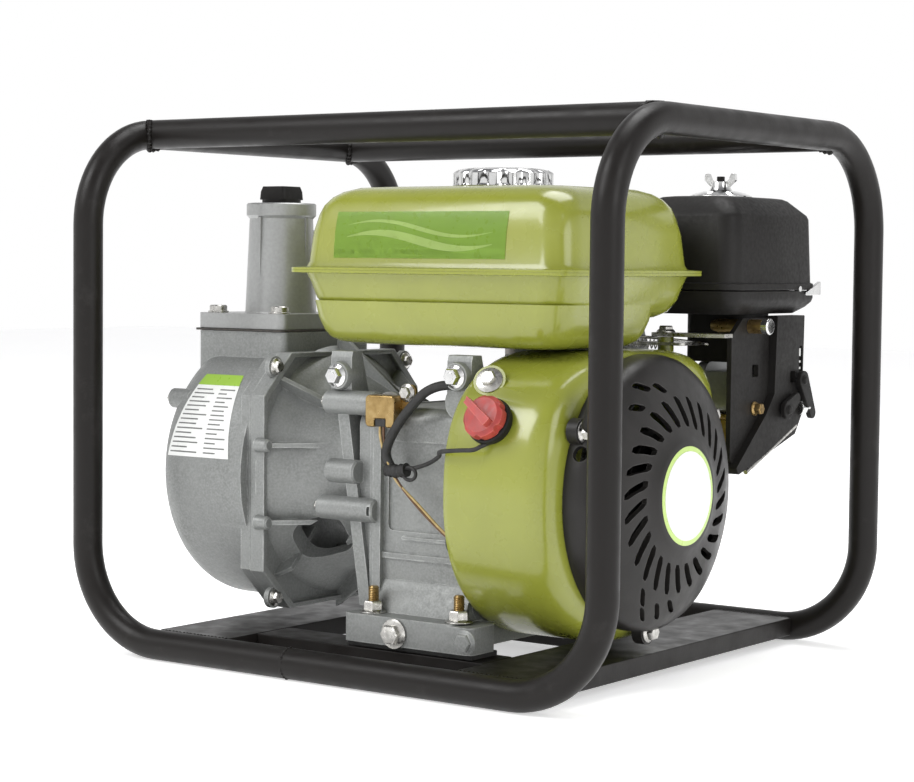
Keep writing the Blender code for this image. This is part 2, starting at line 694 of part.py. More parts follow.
def make_muffler():
    """Silencer behind the tank, with its stub from the exhaust port."""
    left, right = MUFFLER_X
    low, high = MUFFLER_Z
    drum = prism(rounded((left, low), (right, high), 22.0), "Y", *MUFFLER_Y)
    x, y = STUB_PIPE
    pipe = disc("Z", STUB_PIPE, 13.0, low - 54.0, low + 6.0, 16)
    flange = box((x - 14.0, y - 14.0, low - 64.0), (CYLINDER_X - 46.0 - GAP, y + 14.0, low - 40.0))
    tail = disc("X", TAIL_PIPE, 9.0, left - 12.0, left + 8.0, 16)
    bore = disc("X", TAIL_PIPE, 6.5, left - 22.0, left - 2.0, 12)
    part("muffler", drum, "steel", add=[pipe, flange, tail], cut=[bore])
    near = MUFFLER_Y[1] + 4.0
    guard = box((left + 8.0, near, low + 6.0), (right - 8.0, near + 2.5, high - 6.0))
    slots = []
    for k in range(3):
        start = left + 20.0 + 40.0 * k
        slots.append(box((start, near - 5.0, low + 20.0), (start + 26.0, near + 8.0, high - 20.0)))
    part("muffler_guard", guard, "black_plastic", cut=slots)


# ---------------------------------------------------------------- fuel and air

CARB_Y = 130.0
CARB_Z = 198.0


def make_carburettor():
    """Inlet elbow, carburettor and float bowl on the cylinder's starter side."""
    start = CYLINDER_X + 46.0 + GAP
    elbow = disc("X", (CARB_Y, CARB_Z), 17.0, start, 124.0, 20)
    plate = prism(rounded((CARB_Y - 26.0, CARB_Z - 20.0), (CARB_Y + 22.0, CARB_Z + 20.0), 8.0), "X", start,
                  start + 7.0)
    tract = disc("X", (CARB_Y, CARB_Z), 10.0, 50.0, 140.0, 16)
    part("intake_elbow", elbow, "black_plastic", add=[plate], cut=[tract])
    low, high = (CARB_Y - 22.0, CARB_Z - 17.0), (CARB_Y + 22.0, CARB_Z + 22.0)
    body = prism(rounded(low, high, 8.0), "X", 124.3, 166.0)
    throat = disc("X", (CARB_Y, CARB_Z), 10.0, 110.0, 180.0, 16)
    part("carburettor", body, "machined_aluminium", cut=[throat])
    bowl = turned(
        [(0.0, CARB_Z - 17.3), (20.0, CARB_Z - 17.3), (20.0, CARB_Z - 40.0), (13.0, CARB_Z - 46.0),
         (0.0, CARB_Z - 46.0)],
        "Z", (148.0, CARB_Y), 24,
    )
    part("float_bowl", bowl, "brass")


def air_rings(inset, levels):
    """Rings of the air cleaner's rounded box, each (height, extra inset)."""
    rings = []
    for z, extra in levels:
        grow = inset + extra
        outline = rounded((AIR_X[0] + grow, AIR_Y[0] + grow), (AIR_X[1] - grow, AIR_Y[1] - grow), 12.0)
        rings.append([Vector((a, b, z)) for a, b in outline])
    return rings


def make_air_cleaner():
    low, high = AIR_Z
    lid = solid(air_rings(0.0, [(low + 6.0, 0.0), (high - 14.0, 2.0), (high, 16.0)]))
    hollow = solid(air_rings(3.0, [(low - 5.0, 0.0), (high - 16.0, 2.0), (high - 3.0, 16.0)]))
    stud_hole = disc("Z", (NUT_X, NUT_Y), 3.6, high - 20.0, high + 10.0, 12)
    part("air_cleaner_cover", lid, "black_plastic", cut=[hollow, stud_hole])
    element = solid(air_rings(14.0, [(low + 7.0, 0.0), (high - 20.0, 2.0)]))
    middle = prism(rounded((NUT_X - 20.0, NUT_Y - 34.0), (NUT_X + 20.0, NUT_Y + 34.0), 8.0), "Z", 200.0, 400.0)
    part("filter_element", element, "filter_foam", cut=[middle])
    tray = solid(air_rings(0.0, [(low - 12.0, 12.0), (low, 0.0), (low + 5.7, 0.0)]))
    duct = prism(rounded((112.0, 108.0), (166.0, 152.0), 8.0), "Z", CARB_Z + 22.3, low - 8.0)
    stud = disc("Z", (NUT_X, NUT_Y), 3.0, low, high + 16.0, 12)
    part("air_cleaner_base", tray, "black_plastic", add=[duct, stud])
    nut = turned([(3.3, high + GAP), (20.0, high + GAP), (17.0, high + 4.0), (7.5, high + 6.0),
                  (7.5, high + 13.0), (3.3, high + 13.0)], "Z", (NUT_X, NUT_Y), 20)
    wings = []
    for side in (-1, 1):
        wing = prism([(NUT_X + side * 5.0, high + 7.0), (NUT_X + side * 13.0, high + 14.0),
                      (NUT_X + side * 13.0, high + 19.0), (NUT_X + side * 8.0, high + 19.0),
                      (NUT_X + side * 5.0, high + 12.0)], "Y", NUT_Y - 1.5, NUT_Y + 1.5)
        wings.append(wing)
    part("cover_wing_nut", nut, "chrome", add=wings, origin=(NUT_X, NUT_Y, high))


PANEL_X = (168.0, 180.0)
CHOKE_PIVOT = (171.0, 206.0)
VALVE_PIVOT = (146.0, 184.0)


def lever(name, pivot, tip, x, material, root_r=7.0, tip_r=4.5, thick=4.0):
    """A flat lever on an X axis: a round root, a tapering arm and a round tip."""
    root, end = Vector(pivot), Vector(tip)
    heading = atan2(end.y - root.y, end.x - root.x)
    outline = []
    for centre, radius, start in ((end, tip_r, -pi / 2), (root, root_r, pi / 2)):
        for step in range(7):
            angle = heading + start + pi * step / 6
            outline.append((centre.x + radius * cos(angle), centre.y + radius * sin(angle)))
    part(name, prism(outline, "X", x, x + thick), material, origin=(x, *pivot))


def make_controls():
    """Black panel beside the carburettor, with the choke and fuel levers on it."""
    top = AIR_Z[0] - 12.5
    outline = [(135.0, top), (181.0, top), (181.0, 176.0), (165.0, 171.0), (78.0, 136.0), (74.0, 144.0),
               (124.0, 178.0), (135.0, 196.0)]
    panel = prism(outline, "X", *PANEL_X)
    part("control_panel", panel, "black_plastic")
    lever("choke_lever", CHOKE_PIVOT, (186.0, 180.0), PANEL_X[1] + GAP, "black_plastic")
    lever("fuel_valve_lever", VALVE_PIVOT, (160.0, 192.0), PANEL_X[1] + GAP, "black_plastic")


THROTTLE_PIVOT = (122.0, 66.0)
THROTTLE_Z = (240.0, 243.0)


def make_throttle():
    x, y = THROTTLE_PIVOT
    plate = prism([(x - 8.0, y - 8.0), (x + 10.0, y - 9.0), (x + 52.0, y - 3.0), (x + 52.0, y + 9.0),
                   (x + 10.0, y + 9.0), (x - 8.0, y + 8.0)], "Z", *THROTTLE_Z)
    part("throttle_lever", plate, "steel", origin=(x, y, THROTTLE_Z[0]))


def tank_rings(levels, wall=0.0, flange=7.0):
    rings = []
    for z, inset in levels:
        grow = flange + inset + wall
        low = (TANK_X[0] + grow, TANK_Y[0] + grow)
        high = (TANK_X[1] - grow, TANK_Y[1] - grow)
        rings.append([Vector((a, b, z)) for a, b in rounded(low, high, 20.0, 4)])
    return rings


def tank_flange(low, high):
    return prism(rounded((TANK_X[0], TANK_Y[0]), (TANK_X[1], TANK_Y[1]), 14.0, 4), "Z", low, high)


def deep_rings(bottom, wall=0.0):
    """The tank's deeper front half, which tapers down to its floor."""
    rings = []
    for z, inset in ((TANK_SEAM_Z - 24.0, 0.0), (bottom + 8.0, 3.0), (bottom, 12.0)):
        grow = inset + wall
        outline = rounded((-72.0 + grow, -121.0 + grow), (150.0 - grow, 12.0 - grow), 18.0, 3)
        rings.append([Vector((a, b, z)) for a, b in outline])
    return rings


def make_tank():
    """Fuel tank of two pressed shells that meet at a seam flange."""
    seam, top, wall = TANK_SEAM_Z, TANK_TOP_Z, TANK_WALL
    outer = solid(tank_rings([(seam + 1.0, 0.0), (seam + 30.0, 2.0), (top - 14.0, 8.0), (top - 4.0, 17.0),
                              (top, 30.0)]))
    inner_levels = [(seam - 5.0, 0.0), (seam + 30.0, 2.0), (top - 16.0, 8.0), (top - wall, 22.0)]
    inner = solid(tank_rings(inner_levels, wall))
    neck = disc("Z", (CAP_X, CAP_Y), 27.0, top - 1.5, top + 8.0, 24)
    mouth = disc("Z", (CAP_X, CAP_Y), 24.0, top - 10.0, top + 20.0, 24)
    part("tank_upper", tank_flange(seam + 0.2, seam + 2.2), "engine_green", add=[outer, neck],
         cut=[inner, mouth])
    rear_levels = [(seam - 1.0, 0.0), (seam - 20.0, 4.0), (seam - 30.0, 10.0), (seam - 33.0, 18.0)]
    rear = solid(tank_rings(rear_levels))
    deep = solid(deep_rings(TANK_BOTTOM_Z))
    shallow_hollow = solid(tank_rings([(seam + 5.0, 0.0), (seam - 20.0, 4.0), (seam - 30.0, 12.0)], wall))
    deep_hollow = solid(deep_rings(TANK_BOTTOM_Z + wall, wall))
    part("tank_lower", tank_flange(seam - 2.2, seam - 0.2), "engine_green", add=[rear, deep],
         cut=[shallow_hollow, deep_hollow])


def make_fuel_cap():
    """Quarter-turn cap over the filler neck."""
    low = TANK_TOP_Z + 1.0
    cap = turned(
        [(27.5, low), (38.0, low + 1.0), (38.0, low + 11.0), (34.0, low + 15.0), (0.0, low + 15.0),
         (0.0, low + 9.0), (27.5, low + 9.0)],
        "Z", (CAP_X, CAP_Y), 32,
    )
    part("fuel_cap", cap, "chrome", origin=(CAP_X, CAP_Y, low))


def make_tank_brackets():
    """Cast pillars that carry the tank's front edge."""
    for name, low, high, foot, top in (
        ("left_tank_bracket", -47.0, -20.0, CASE_Z[1] - 1.0 + GAP, 231.0),
        ("right_tank_bracket", 57.0, 78.0, CASE_Z[1] + GAP, 231.0),
    ):
        outline = [(-118.0, foot), (-96.0, foot), (-106.0, foot + 18.0), (-108.0, top), (-124.0, top),
                   (-124.0, foot + 22.0)]
        part(name, prism(outline, "X", low, high), "cast_aluminium")


# ---------------------------------------------------------------- blower, starter and wiring

def make_housing():
    """Blower housing: a shell open to the starter, with a back wall round the crank boss."""
    low, high = HOUSING_X
    body = prism(housing_outline(), "X", low, high)
    post = disc("Z", THROTTLE_PIVOT, 6.0, 200.0, THROTTLE_Z[0] - GAP, 12)
    hollow = prism(housing_outline(3.0), "X", low + 3.0, high - 3.0)
    front = disc("X", CRANK, 80.0, high - 10.0, high + 10.0, 36)
    back = disc("X", CRANK, 55.0, low - 10.0, low + 10.0, 32)
    duct = box((low - 10.0, 20.0, 120.0), (low + 10.0, 60.0, 205.0))
    part("blower_housing", body, "engine_green", add=[post], cut=[hollow, front, back, duct])


HANDLE_AXIS = Vector((0.0, -0.94, 0.342)).normalized()
HANDLE_AT = Vector((188.0, -126.0, 196.0))
REEL_R = 40.0


def make_starter():
    """Recoil starter cover with its fixed post, the rope reel and the pull handle."""
    low, face = HOUSING_X[1] + GAP, STARTER_FACE_X
    profile = [(93.0, low), (STARTER_R, low), (STARTER_R, 178.0), (91.0, 188.0), (66.0, 198.0), (40.0, 203.0),
               (34.0, face), (0.0, face), (0.0, face - 4.0), (32.0, face - 4.0), (38.0, 199.0),
               (64.0, 194.0), (87.0, 185.0), (93.0, 177.0)]
    shell = turned(profile, "X", CRANK, 32)
    post = disc("X", CRANK, 8.0, 168.0, face - 2.0, 16)
    ears = []
    for angle in STARTER_EAR_ANGLES:
        heading, reach = radians(angle), STARTER_R + 1.0
        centre = (CRANK_Y + reach * cos(heading), CRANK_Z + reach * sin(heading))
        ears.append(disc("X", centre, 9.0, low + 0.5, 174.0, 12))
    slots = []
    for k in range(STARTER_SLOTS):
        slot = box((low + 14.7, 46.0, -4.0), (face + 9.0, 64.0, 4.0))
        turn = Matrix.Translation((0.0, *CRANK)) @ Matrix.Rotation(2 * pi * k / STARTER_SLOTS, 4, "X")
        slots.append(placed(slot, turn))
    rope_hole = prism(circle((0.0, 0.0), 5.0, 10), "Z", 70.0, 120.0)
    pull = HANDLE_AXIS.to_track_quat("Z", "Y").to_matrix().to_4x4()
    placed(rope_hole, Matrix.Translation((175.0, *CRANK)) @ pull)
    part("starter_cover", shell, "black_plastic", add=[post, *ears], cut=[*slots, rope_hole])

    reel = turned(
        [(8.5, 170.0), (REEL_R + 4.0, 170.0), (REEL_R + 4.0, 172.0), (REEL_R - 6.0, 173.0),
         (REEL_R - 6.0, 181.0), (REEL_R + 4.0, 182.0), (REEL_R + 4.0, 184.0), (8.5, 184.0)],
        "X", CRANK, 28,
    )
    part("recoil_reel", reel, "black_plastic", origin=(177.0, *CRANK))

    grip = prism(rounded((-17.0, -9.0), (17.0, 9.0), 7.0), "Z", 0.0, 16.0)
    stem = disc("Z", (0.0, 0.0), 5.0, -8.0, 4.0, 12)
    place = Matrix.Translation(HANDLE_AT) @ pull @ Matrix.Rotation(pi / 2, 4, "Z")
    part("starter_handle", placed(grip, place), "black_plastic", add=[placed(stem, place)], origin=HANDLE_AT)


SWITCH_X = 117.0
SWITCH_NORMAL = Vector((0.0, -0.905, 0.425)).normalized()


def make_switch():
    """Rotary stop switch, which stands square to the housing's curved side."""
    turn = SWITCH_NORMAL.to_track_quat("Z", "Y").to_matrix().to_4x4()
    at = Vector((SWITCH_X, *CRANK)) + SWITCH_NORMAL * 124.0
    place = Matrix.Translation(at) @ turn
    base = disc("Z", (0.0, 0.0), 15.0, -2.5, 4.0, 20)
    part("switch_base", placed(base, place), "black_plastic")
    knob = disc("Z", (0.0, 0.0), 15.5, 4.3, 9.0, 20)
    pointer = prism([(-14.0, -5.0), (18.0, -3.0), (18.0, 3.0), (-14.0, 5.0)], "Z", 8.0, 19.0)
    part("switch_knob", placed(knob, place), "red_plastic", add=[placed(pointer, place)], origin=at)


def make_wiring():
    """Low-oil unit and the lead from it, past the tank bracket, to the switch."""
    unit = prism(rounded((-7.0, 179.0), (17.0, 197.0), 3.0), "Y", -131.0, CASE_Y[0] - GAP)
    part("oil_alert_unit", unit, "brass")
    route = [(46.0, -129.0, 204.0), (34.0, -130.0, 194.0), (20.0, -130.5, 178.0), (10.0, -130.0, 160.0),
             (14.0, -130.0, 149.0), (30.0, -131.0, 148.0), (50.0, -135.0, 153.0), (68.0, -146.0, 160.0),
             (82.0, -163.5, 165.0), (98.0, -165.5, 167.0), (110.0, -165.0, 168.0)]
    part("ignition_cable", sweep(spline(route, 2), 2.0, 8, Vector((0.0, 0.0, 1.0))), "rubber")


def make_oil_fittings():
    centre = OIL_DRAIN
    head = disc("Y", centre, 9.5, BASE_Y[0] - 8.0, BASE_Y[0] - GAP, 6)
    shank = disc("Y", centre, 4.9, BASE_Y[0] - 2.0, BASE_Y[0] + 12.0, 12)
    part("oil_drain_bolt", head, "steel", add=[shank], origin=(centre[0], BASE_Y[0], centre[1]))
    centre = OIL_FILLER
    cap = disc("Y", centre, 14.0, CASE_Y[1] + GAP, CASE_Y[1] + 20.0, 16)
    thread = disc("Y", centre, 9.0, CASE_Y[1] - 4.0, CASE_Y[1] + 2.0, 16)
    part("oil_filler_cap", cap, "black_plastic", add=[thread], origin=(centre[0], CASE_Y[1], centre[1]))


# ---------------------------------------------------------------- the whole pump set

for old in list(bpy.data.objects):
    bpy.data.objects.remove(old)

materials = make_materials()
crank_axis = axis_at("crank_axis", (0.0, *CRANK))

make_frame()
make_bracket()
make_casing()
make_inlet()
make_outlet()
make_drain_plug()
make_impeller(crank_axis)
make_seal()
make_crankcase()
make_side_cover()
make_crank(crank_axis)
make_flywheel(crank_axis)
make_camshaft()
make_piston_and_rod()
make_head()
make_muffler()
make_carburettor()
make_air_cleaner()
make_controls()
make_throttle()
make_tank()
make_fuel_cap()
make_tank_brackets()
make_housing()
make_starter()
make_switch()
make_wiring()
make_oil_fittings()
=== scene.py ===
"""Looks of a petrol-engine water pump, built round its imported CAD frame.

Lengths are in millimetres until piece() turns a mesh into metres. Places come from the CAD nodes'
boxes. +X runs along the crankshaft from the pump to the recoil starter, +Y from the crankcase to
the cylinder head, and +Z is up.
"""

import json
from math import atan2, cos, pi, radians, sin

import bmesh
import bpy
from mathutils import Matrix, Vector


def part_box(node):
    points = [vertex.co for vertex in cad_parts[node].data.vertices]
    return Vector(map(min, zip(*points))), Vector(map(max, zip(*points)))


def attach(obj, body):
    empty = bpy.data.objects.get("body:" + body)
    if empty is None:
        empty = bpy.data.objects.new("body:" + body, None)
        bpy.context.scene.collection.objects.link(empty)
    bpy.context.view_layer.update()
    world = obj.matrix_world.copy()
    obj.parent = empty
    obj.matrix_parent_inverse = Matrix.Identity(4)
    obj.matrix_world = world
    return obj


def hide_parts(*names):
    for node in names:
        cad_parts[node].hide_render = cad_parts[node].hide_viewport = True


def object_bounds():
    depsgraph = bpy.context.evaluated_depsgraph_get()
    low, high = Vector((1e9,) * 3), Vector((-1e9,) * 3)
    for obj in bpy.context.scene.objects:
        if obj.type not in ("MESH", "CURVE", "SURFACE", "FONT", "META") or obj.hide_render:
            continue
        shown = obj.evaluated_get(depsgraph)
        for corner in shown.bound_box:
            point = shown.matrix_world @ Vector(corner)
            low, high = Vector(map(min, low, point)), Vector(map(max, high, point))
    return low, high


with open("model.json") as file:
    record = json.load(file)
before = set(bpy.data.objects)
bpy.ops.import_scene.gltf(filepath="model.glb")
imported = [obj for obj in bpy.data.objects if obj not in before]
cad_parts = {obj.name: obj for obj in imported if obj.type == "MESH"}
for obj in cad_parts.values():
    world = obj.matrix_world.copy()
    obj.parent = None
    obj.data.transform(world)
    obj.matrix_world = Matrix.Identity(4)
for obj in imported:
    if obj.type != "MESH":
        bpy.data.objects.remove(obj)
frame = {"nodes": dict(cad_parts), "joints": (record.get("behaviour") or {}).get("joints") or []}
cad_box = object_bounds()

MM = 0.001


# ---------------------------------------------------------------- places in the frame

def span(node):
    """Lowest and highest corner of a CAD node, in millimetres."""
    low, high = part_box(node)
    return low / MM, high / MM


def centre_of(node):
    low, high = span(node)
    return (low + high) / 2


def joint(name):
    return next(found for found in frame["joints"] if found["name"] == name)


def pivot_of(name):
    return Vector(joint(name)["pos_m"]) / MM


CRANK = tuple(centre_of("shaft_seal").yz)
BORE_TILT = radians(25.0)
CYLINDER_X = centre_of("piston").x
SWITCH_AT = pivot_of("switch_turn")
SWITCH_NORMAL = Vector(joint("switch_turn")["axis"])
PULL = Vector(joint("starter_pull")["axis"])


# ---------------------------------------------------------------- node materials

LOOKS = {}


class Look:
    """One procedural material: a Principled shader fed by textures fixed to the object."""

    def __init__(self, name, roughness, metallic=0.0, **constants):
        self.material = bpy.data.materials.new(name)
        self.material.use_nodes = True
        self.tree = self.material.node_tree
        self.shader = self.tree.nodes["Principled BSDF"]
        constants = {"Roughness": roughness, "Metallic": metallic, **constants}
        for socket, value in constants.items():
            self.shader.inputs[socket.replace("_", " ")].default_value = value
        self.place = self.tree.nodes.new("ShaderNodeTexCoord").outputs["Object"]
        self.normal = None
        LOOKS[name] = self.material

    def add(self, kind, **values):
        node = self.tree.nodes.new(kind)
        for name, value in values.items():
            setattr(node, name, value)
        return node

    def link(self, source, target):
        self.tree.links.new(source, target)

    def stretched(self, stretch):
        mapping = self.add("ShaderNodeMapping")
        mapping.inputs["Scale"].default_value = stretch
        self.link(self.place, mapping.inputs["Vector"])
        return mapping.outputs["Vector"]

    def noise(self, size, detail=2.0, stretch=None, rough=0.5):
        """Noise whose features are about size millimetres across."""
        node = self.add("ShaderNodeTexNoise")
        node.inputs["Scale"].default_value = 1.0 / (size * MM)
        node.inputs["Detail"].default_value = detail
        node.inputs["Roughness"].default_value = rough
        self.link(self.stretched(stretch) if stretch else self.place, node.inputs["Vector"])
        return node.outputs["Fac"]

    def cells(self, size):
        node = self.add("ShaderNodeTexVoronoi")
        node.inputs["Scale"].default_value = 1.0 / (size * MM)
        self.link(self.place, node.inputs["Vector"])
        return node.outputs["Distance"]

    def remap(self, value, low, high, to_low=0.0, to_high=1.0):
        node = self.add("ShaderNodeMapRange")
        for socket, number in zip(("From Min", "From Max", "To Min", "To Max"), (low, high, to_low, to_high)):
            node.inputs[socket].default_value = number
        self.link(value, node.inputs["Value"])
        return node.outputs["Result"]

    def maths(self, operation, first, second):
        node = self.add("ShaderNodeMath", operation=operation)
        for socket, value in zip(node.inputs, (first, second)):
            if isinstance(value, float):
                socket.default_value = value
            else:
                self.link(value, socket)
        return node.outputs["Value"]

    def ramp(self, value, *stops):
        """Colour stops as (place, colour)."""
        node = self.add("ShaderNodeValToRGB")
        elements = node.color_ramp.elements
        while len(elements) < len(stops):
            elements.new(0.5)
        for element, (place, colour) in zip(elements, stops):
            element.position = place
            element.color = (*colour, 1.0)
        self.link(value, node.inputs["Fac"])
        return node.outputs["Color"]

    def mix(self, amount, first, second):
        node = self.add("ShaderNodeMix", data_type="RGBA")
        self.link(amount, node.inputs["Factor"])
        for socket, value in ((node.inputs[6], first), (node.inputs[7], second)):
            if isinstance(value, tuple):
                socket.default_value = (*value, 1.0)
            else:
                self.link(value, socket)
        return node.outputs[2]

    def edges(self, radius, strength=6.0):
        """Near 1 within radius millimetres of an edge, and 0 on flat faces."""
        bevel = self.add("ShaderNodeBevel", samples=4)
        bevel.inputs["Radius"].default_value = radius * MM
        geometry = self.add("ShaderNodeNewGeometry")
        product = self.add("ShaderNodeVectorMath", operation="DOT_PRODUCT")
        self.link(bevel.outputs["Normal"], product.inputs[0])
        self.link(geometry.outputs["Normal"], product.inputs[1])
        turned_away = self.maths("SUBTRACT", 1.0, product.outputs["Value"])
        node = self.add("ShaderNodeMath", operation="MULTIPLY", use_clamp=True)
        node.inputs[1].default_value = strength
        self.link(turned_away, node.inputs[0])
        return node.outputs["Value"]

    def bump(self, height, strength, depth=0.3):
        """Adds relief of about depth millimetres to the normal."""
        node = self.add("ShaderNodeBump")
        node.inputs["Strength"].default_value = strength
        node.inputs["Distance"].default_value = depth * MM
        self.link(height, node.inputs["Height"])
        if self.normal:
            self.link(self.normal, node.inputs["Normal"])
        self.normal = node.outputs["Normal"]
        self.link(self.normal, self.shader.inputs["Normal"])

    def colour(self, source):
        self.link(source, self.shader.inputs["Base Color"])

    def feed(self, socket, source):
        self.link(source, self.shader.inputs[socket])


def shade_of(colour, factor):
    return tuple(min(1.0, channel * factor) for channel in colour)


GREEN = (0.262, 0.285, 0.036)
CAST = (0.225, 0.232, 0.226)


def make_green_paint():
    look = Look("engine_green_paint", 0.27, Coat_Weight=0.5, Coat_Roughness=0.12)
    cloud = look.noise(60.0, 3.0)
    look.colour(look.ramp(cloud, (0.3, shade_of(GREEN, 0.93)), (0.7, shade_of(GREEN, 1.06))))
    look.feed("Roughness", look.remap(look.noise(22.0, 4.0), 0.3, 0.7, 0.22, 0.33))
    look.bump(look.noise(2.2, 1.0), 0.10, 0.25)


def make_frame_black():
    look = Look("frame_black_coat", 0.40, Specular_IOR_Level=0.22)
    scuff = look.remap(look.noise(30.0, 8.0, rough=0.7), 0.58, 0.72)
    look.colour(look.mix(scuff, (0.0105, 0.0090, 0.0082), (0.020, 0.018, 0.017)))
    look.feed("Roughness", look.remap(look.noise(14.0, 5.0), 0.3, 0.7, 0.30, 0.46))
    look.bump(look.noise(1.4, 2.0), 0.22, 0.20)


def make_casting():
    """Silver-painted sand casting: pebbled skin, darker in patches and rubbed bright on its edges."""
    look = Look("cast_paint", 0.46, 0.35)
    patches = look.ramp(look.noise(38.0, 5.0), (0.3, shade_of(CAST, 0.84)), (0.7, shade_of(CAST, 1.10)))
    speckle = look.remap(look.noise(1.6, 2.0), 0.35, 0.70)
    body = look.mix(speckle, patches, shade_of(CAST, 1.22))
    rubbed = look.maths("MULTIPLY", look.edges(1.6), look.remap(look.noise(9.0, 4.0), 0.35, 0.62))
    look.colour(look.mix(rubbed, body, (0.50, 0.51, 0.50)))
    look.feed("Roughness", look.remap(look.noise(5.0, 4.0), 0.3, 0.7, 0.38, 0.55))
    look.bump(look.noise(1.3, 3.0), 0.42, 0.30)
    look.bump(look.noise(14.0, 2.0), 0.25, 0.60)


def make_metals():
    look = Look("machined_aluminium", 0.34, 0.55)
    drawn = look.noise(2.5, 2.0)
    look.colour(look.ramp(drawn, (0.3, (0.33, 0.335, 0.33)), (0.7, (0.37, 0.375, 0.37))))
    look.feed("Roughness", look.remap(look.noise(12.0, 4.0), 0.3, 0.7, 0.28, 0.42))
    look.bump(drawn, 0.10, 0.10)

    look = Look("zinc_steel", 0.30, 1.0)
    look.colour(look.ramp(look.noise(3.5, 4.0), (0.3, (0.42, 0.41, 0.39)), (0.7, (0.62, 0.61, 0.58))))
    look.feed("Roughness", look.remap(look.noise(2.0, 4.0), 0.3, 0.7, 0.20, 0.42))
    look.bump(look.noise(0.8, 2.0), 0.12, 0.10)

    look = Look("bright_plate", 0.14, 1.0)
    look.colour(look.ramp(look.noise(9.0, 3.0), (0.3, (0.66, 0.66, 0.66)), (0.7, (0.78, 0.78, 0.77))))
    look.feed("Roughness", look.remap(look.noise(7.0, 5.0), 0.3, 0.7, 0.08, 0.22))
    look.bump(look.noise(5.0, 1.0), 0.04, 0.20)

    look = Look("yellow_chromate", 0.32, 0.9)
    look.colour(look.ramp(look.noise(7.0, 4.0), (0.25, (0.23, 0.15, 0.055)), (0.5, (0.36, 0.245, 0.10)),
                          (0.75, (0.46, 0.34, 0.16))))
    look.feed("Roughness", look.remap(look.noise(3.0, 4.0), 0.3, 0.7, 0.24, 0.42))
    look.bump(look.noise(1.0, 2.0), 0.12, 0.12)

    look = Look("muffler_steel", 0.42, 0.85)
    heat = look.noise(45.0, 4.0)
    look.colour(look.ramp(heat, (0.3, (0.22, 0.20, 0.18)), (0.6, (0.34, 0.32, 0.30)), (0.8, (0.36, 0.29, 0.20))))
    look.feed("Roughness", look.remap(look.noise(8.0, 4.0), 0.3, 0.7, 0.34, 0.55))
    look.bump(look.noise(1.6, 3.0), 0.18, 0.20)


def make_plastics_and_rubber():
    look = Look("black_plastic", 0.52, Specular_IOR_Level=0.22)
    look.colour(look.ramp(look.noise(26.0, 4.0), (0.3, (0.0095, 0.0085, 0.0080)), (0.7, (0.016, 0.015, 0.014))))
    look.feed("Roughness", look.remap(look.noise(3.0, 3.0), 0.3, 0.7, 0.44, 0.60))
    look.bump(look.cells(1.1), 0.30, 0.12)

    look = Look("starter_black", 0.40, Specular_IOR_Level=0.28)
    rubbed = look.maths("MULTIPLY", look.edges(1.2), look.remap(look.noise(7.0, 4.0), 0.40, 0.65))
    skin = look.ramp(look.noise(30.0, 4.0), (0.3, (0.015, 0.014, 0.013)), (0.7, (0.022, 0.020, 0.019)))
    look.colour(look.mix(rubbed, skin, (0.085, 0.083, 0.080)))
    look.feed("Roughness", look.remap(look.noise(10.0, 4.0), 0.3, 0.7, 0.30, 0.44))
    look.bump(look.noise(1.5, 2.0), 0.18, 0.15)

    look = Look("red_plastic", 0.42)
    worn = look.maths("MULTIPLY", look.edges(1.3), look.remap(look.noise(4.0, 4.0), 0.35, 0.6))
    skin = look.ramp(look.noise(8.0, 5.0), (0.3, (0.28, 0.028, 0.025)), (0.7, (0.45, 0.050, 0.042)))
    look.colour(look.mix(worn, skin, (0.60, 0.17, 0.13)))
    look.feed("Roughness", look.remap(look.noise(4.0, 4.0), 0.3, 0.7, 0.34, 0.55))
    look.bump(look.noise(1.2, 2.0), 0.20, 0.15)

    for name, dark, light in (
        ("black_rubber", (0.012, 0.012, 0.012), (0.028, 0.027, 0.026)),
        ("gasket_fibre", (0.020, 0.018, 0.016), (0.060, 0.052, 0.044)),
        ("yellow_wire", (0.36, 0.25, 0.09), (0.50, 0.38, 0.17)),
        ("brown_wire", (0.10, 0.05, 0.025), (0.16, 0.085, 0.045)),
    ):
        look = Look(name, 0.62)
        look.colour(look.ramp(look.noise(4.0, 4.0), (0.3, dark), (0.7, light)))
        look.feed("Roughness", look.remap(look.noise(2.0, 3.0), 0.3, 0.7, 0.50, 0.75))
        look.bump(look.noise(0.9, 2.0), 0.25, 0.15)

    look = Look("filter_paper", 0.90)
    pleats = look.add("ShaderNodeTexWave", bands_direction="Y")
    pleats.inputs["Scale"].default_value = 60.0
    look.link(look.place, pleats.inputs["Vector"])
    # The pleat valleys are painted darker and the crests lighter, following the pleats' relief: painted shade and
    # painted highlight.
    look.colour(look.ramp(pleats.outputs["Fac"], (0.0, (0.34, 0.27, 0.14)), (1.0, (0.62, 0.54, 0.34))))
    look.bump(pleats.outputs["Fac"], 0.8, 1.2)


def make_labels():
    """Printed film in plain colours, with a slight sheen and the odd speck."""
    for name, colour in (
        ("label_white", (0.80, 0.81, 0.79)),
        ("label_green", (0.30, 0.50, 0.055)),
        ("label_grey", (0.16, 0.165, 0.16)),
        ("label_light_green", (0.52, 0.70, 0.20)),
    ):
        look = Look(name, 0.30, Coat_Weight=0.3, Coat_Roughness=0.15)
        look.colour(look.ramp(look.noise(18.0, 4.0), (0.3, shade_of(colour, 0.94)), (0.7, colour)))
        look.feed("Roughness", look.remap(look.noise(6.0, 4.0), 0.3, 0.7, 0.24, 0.38))
        look.bump(look.noise(4.0, 1.0), 0.05, 0.10)


make_green_paint()
make_frame_black()
make_casting()
make_metals()
make_plastics_and_rubber()
make_labels()


# ---------------------------------------------------------------- outlines and paths

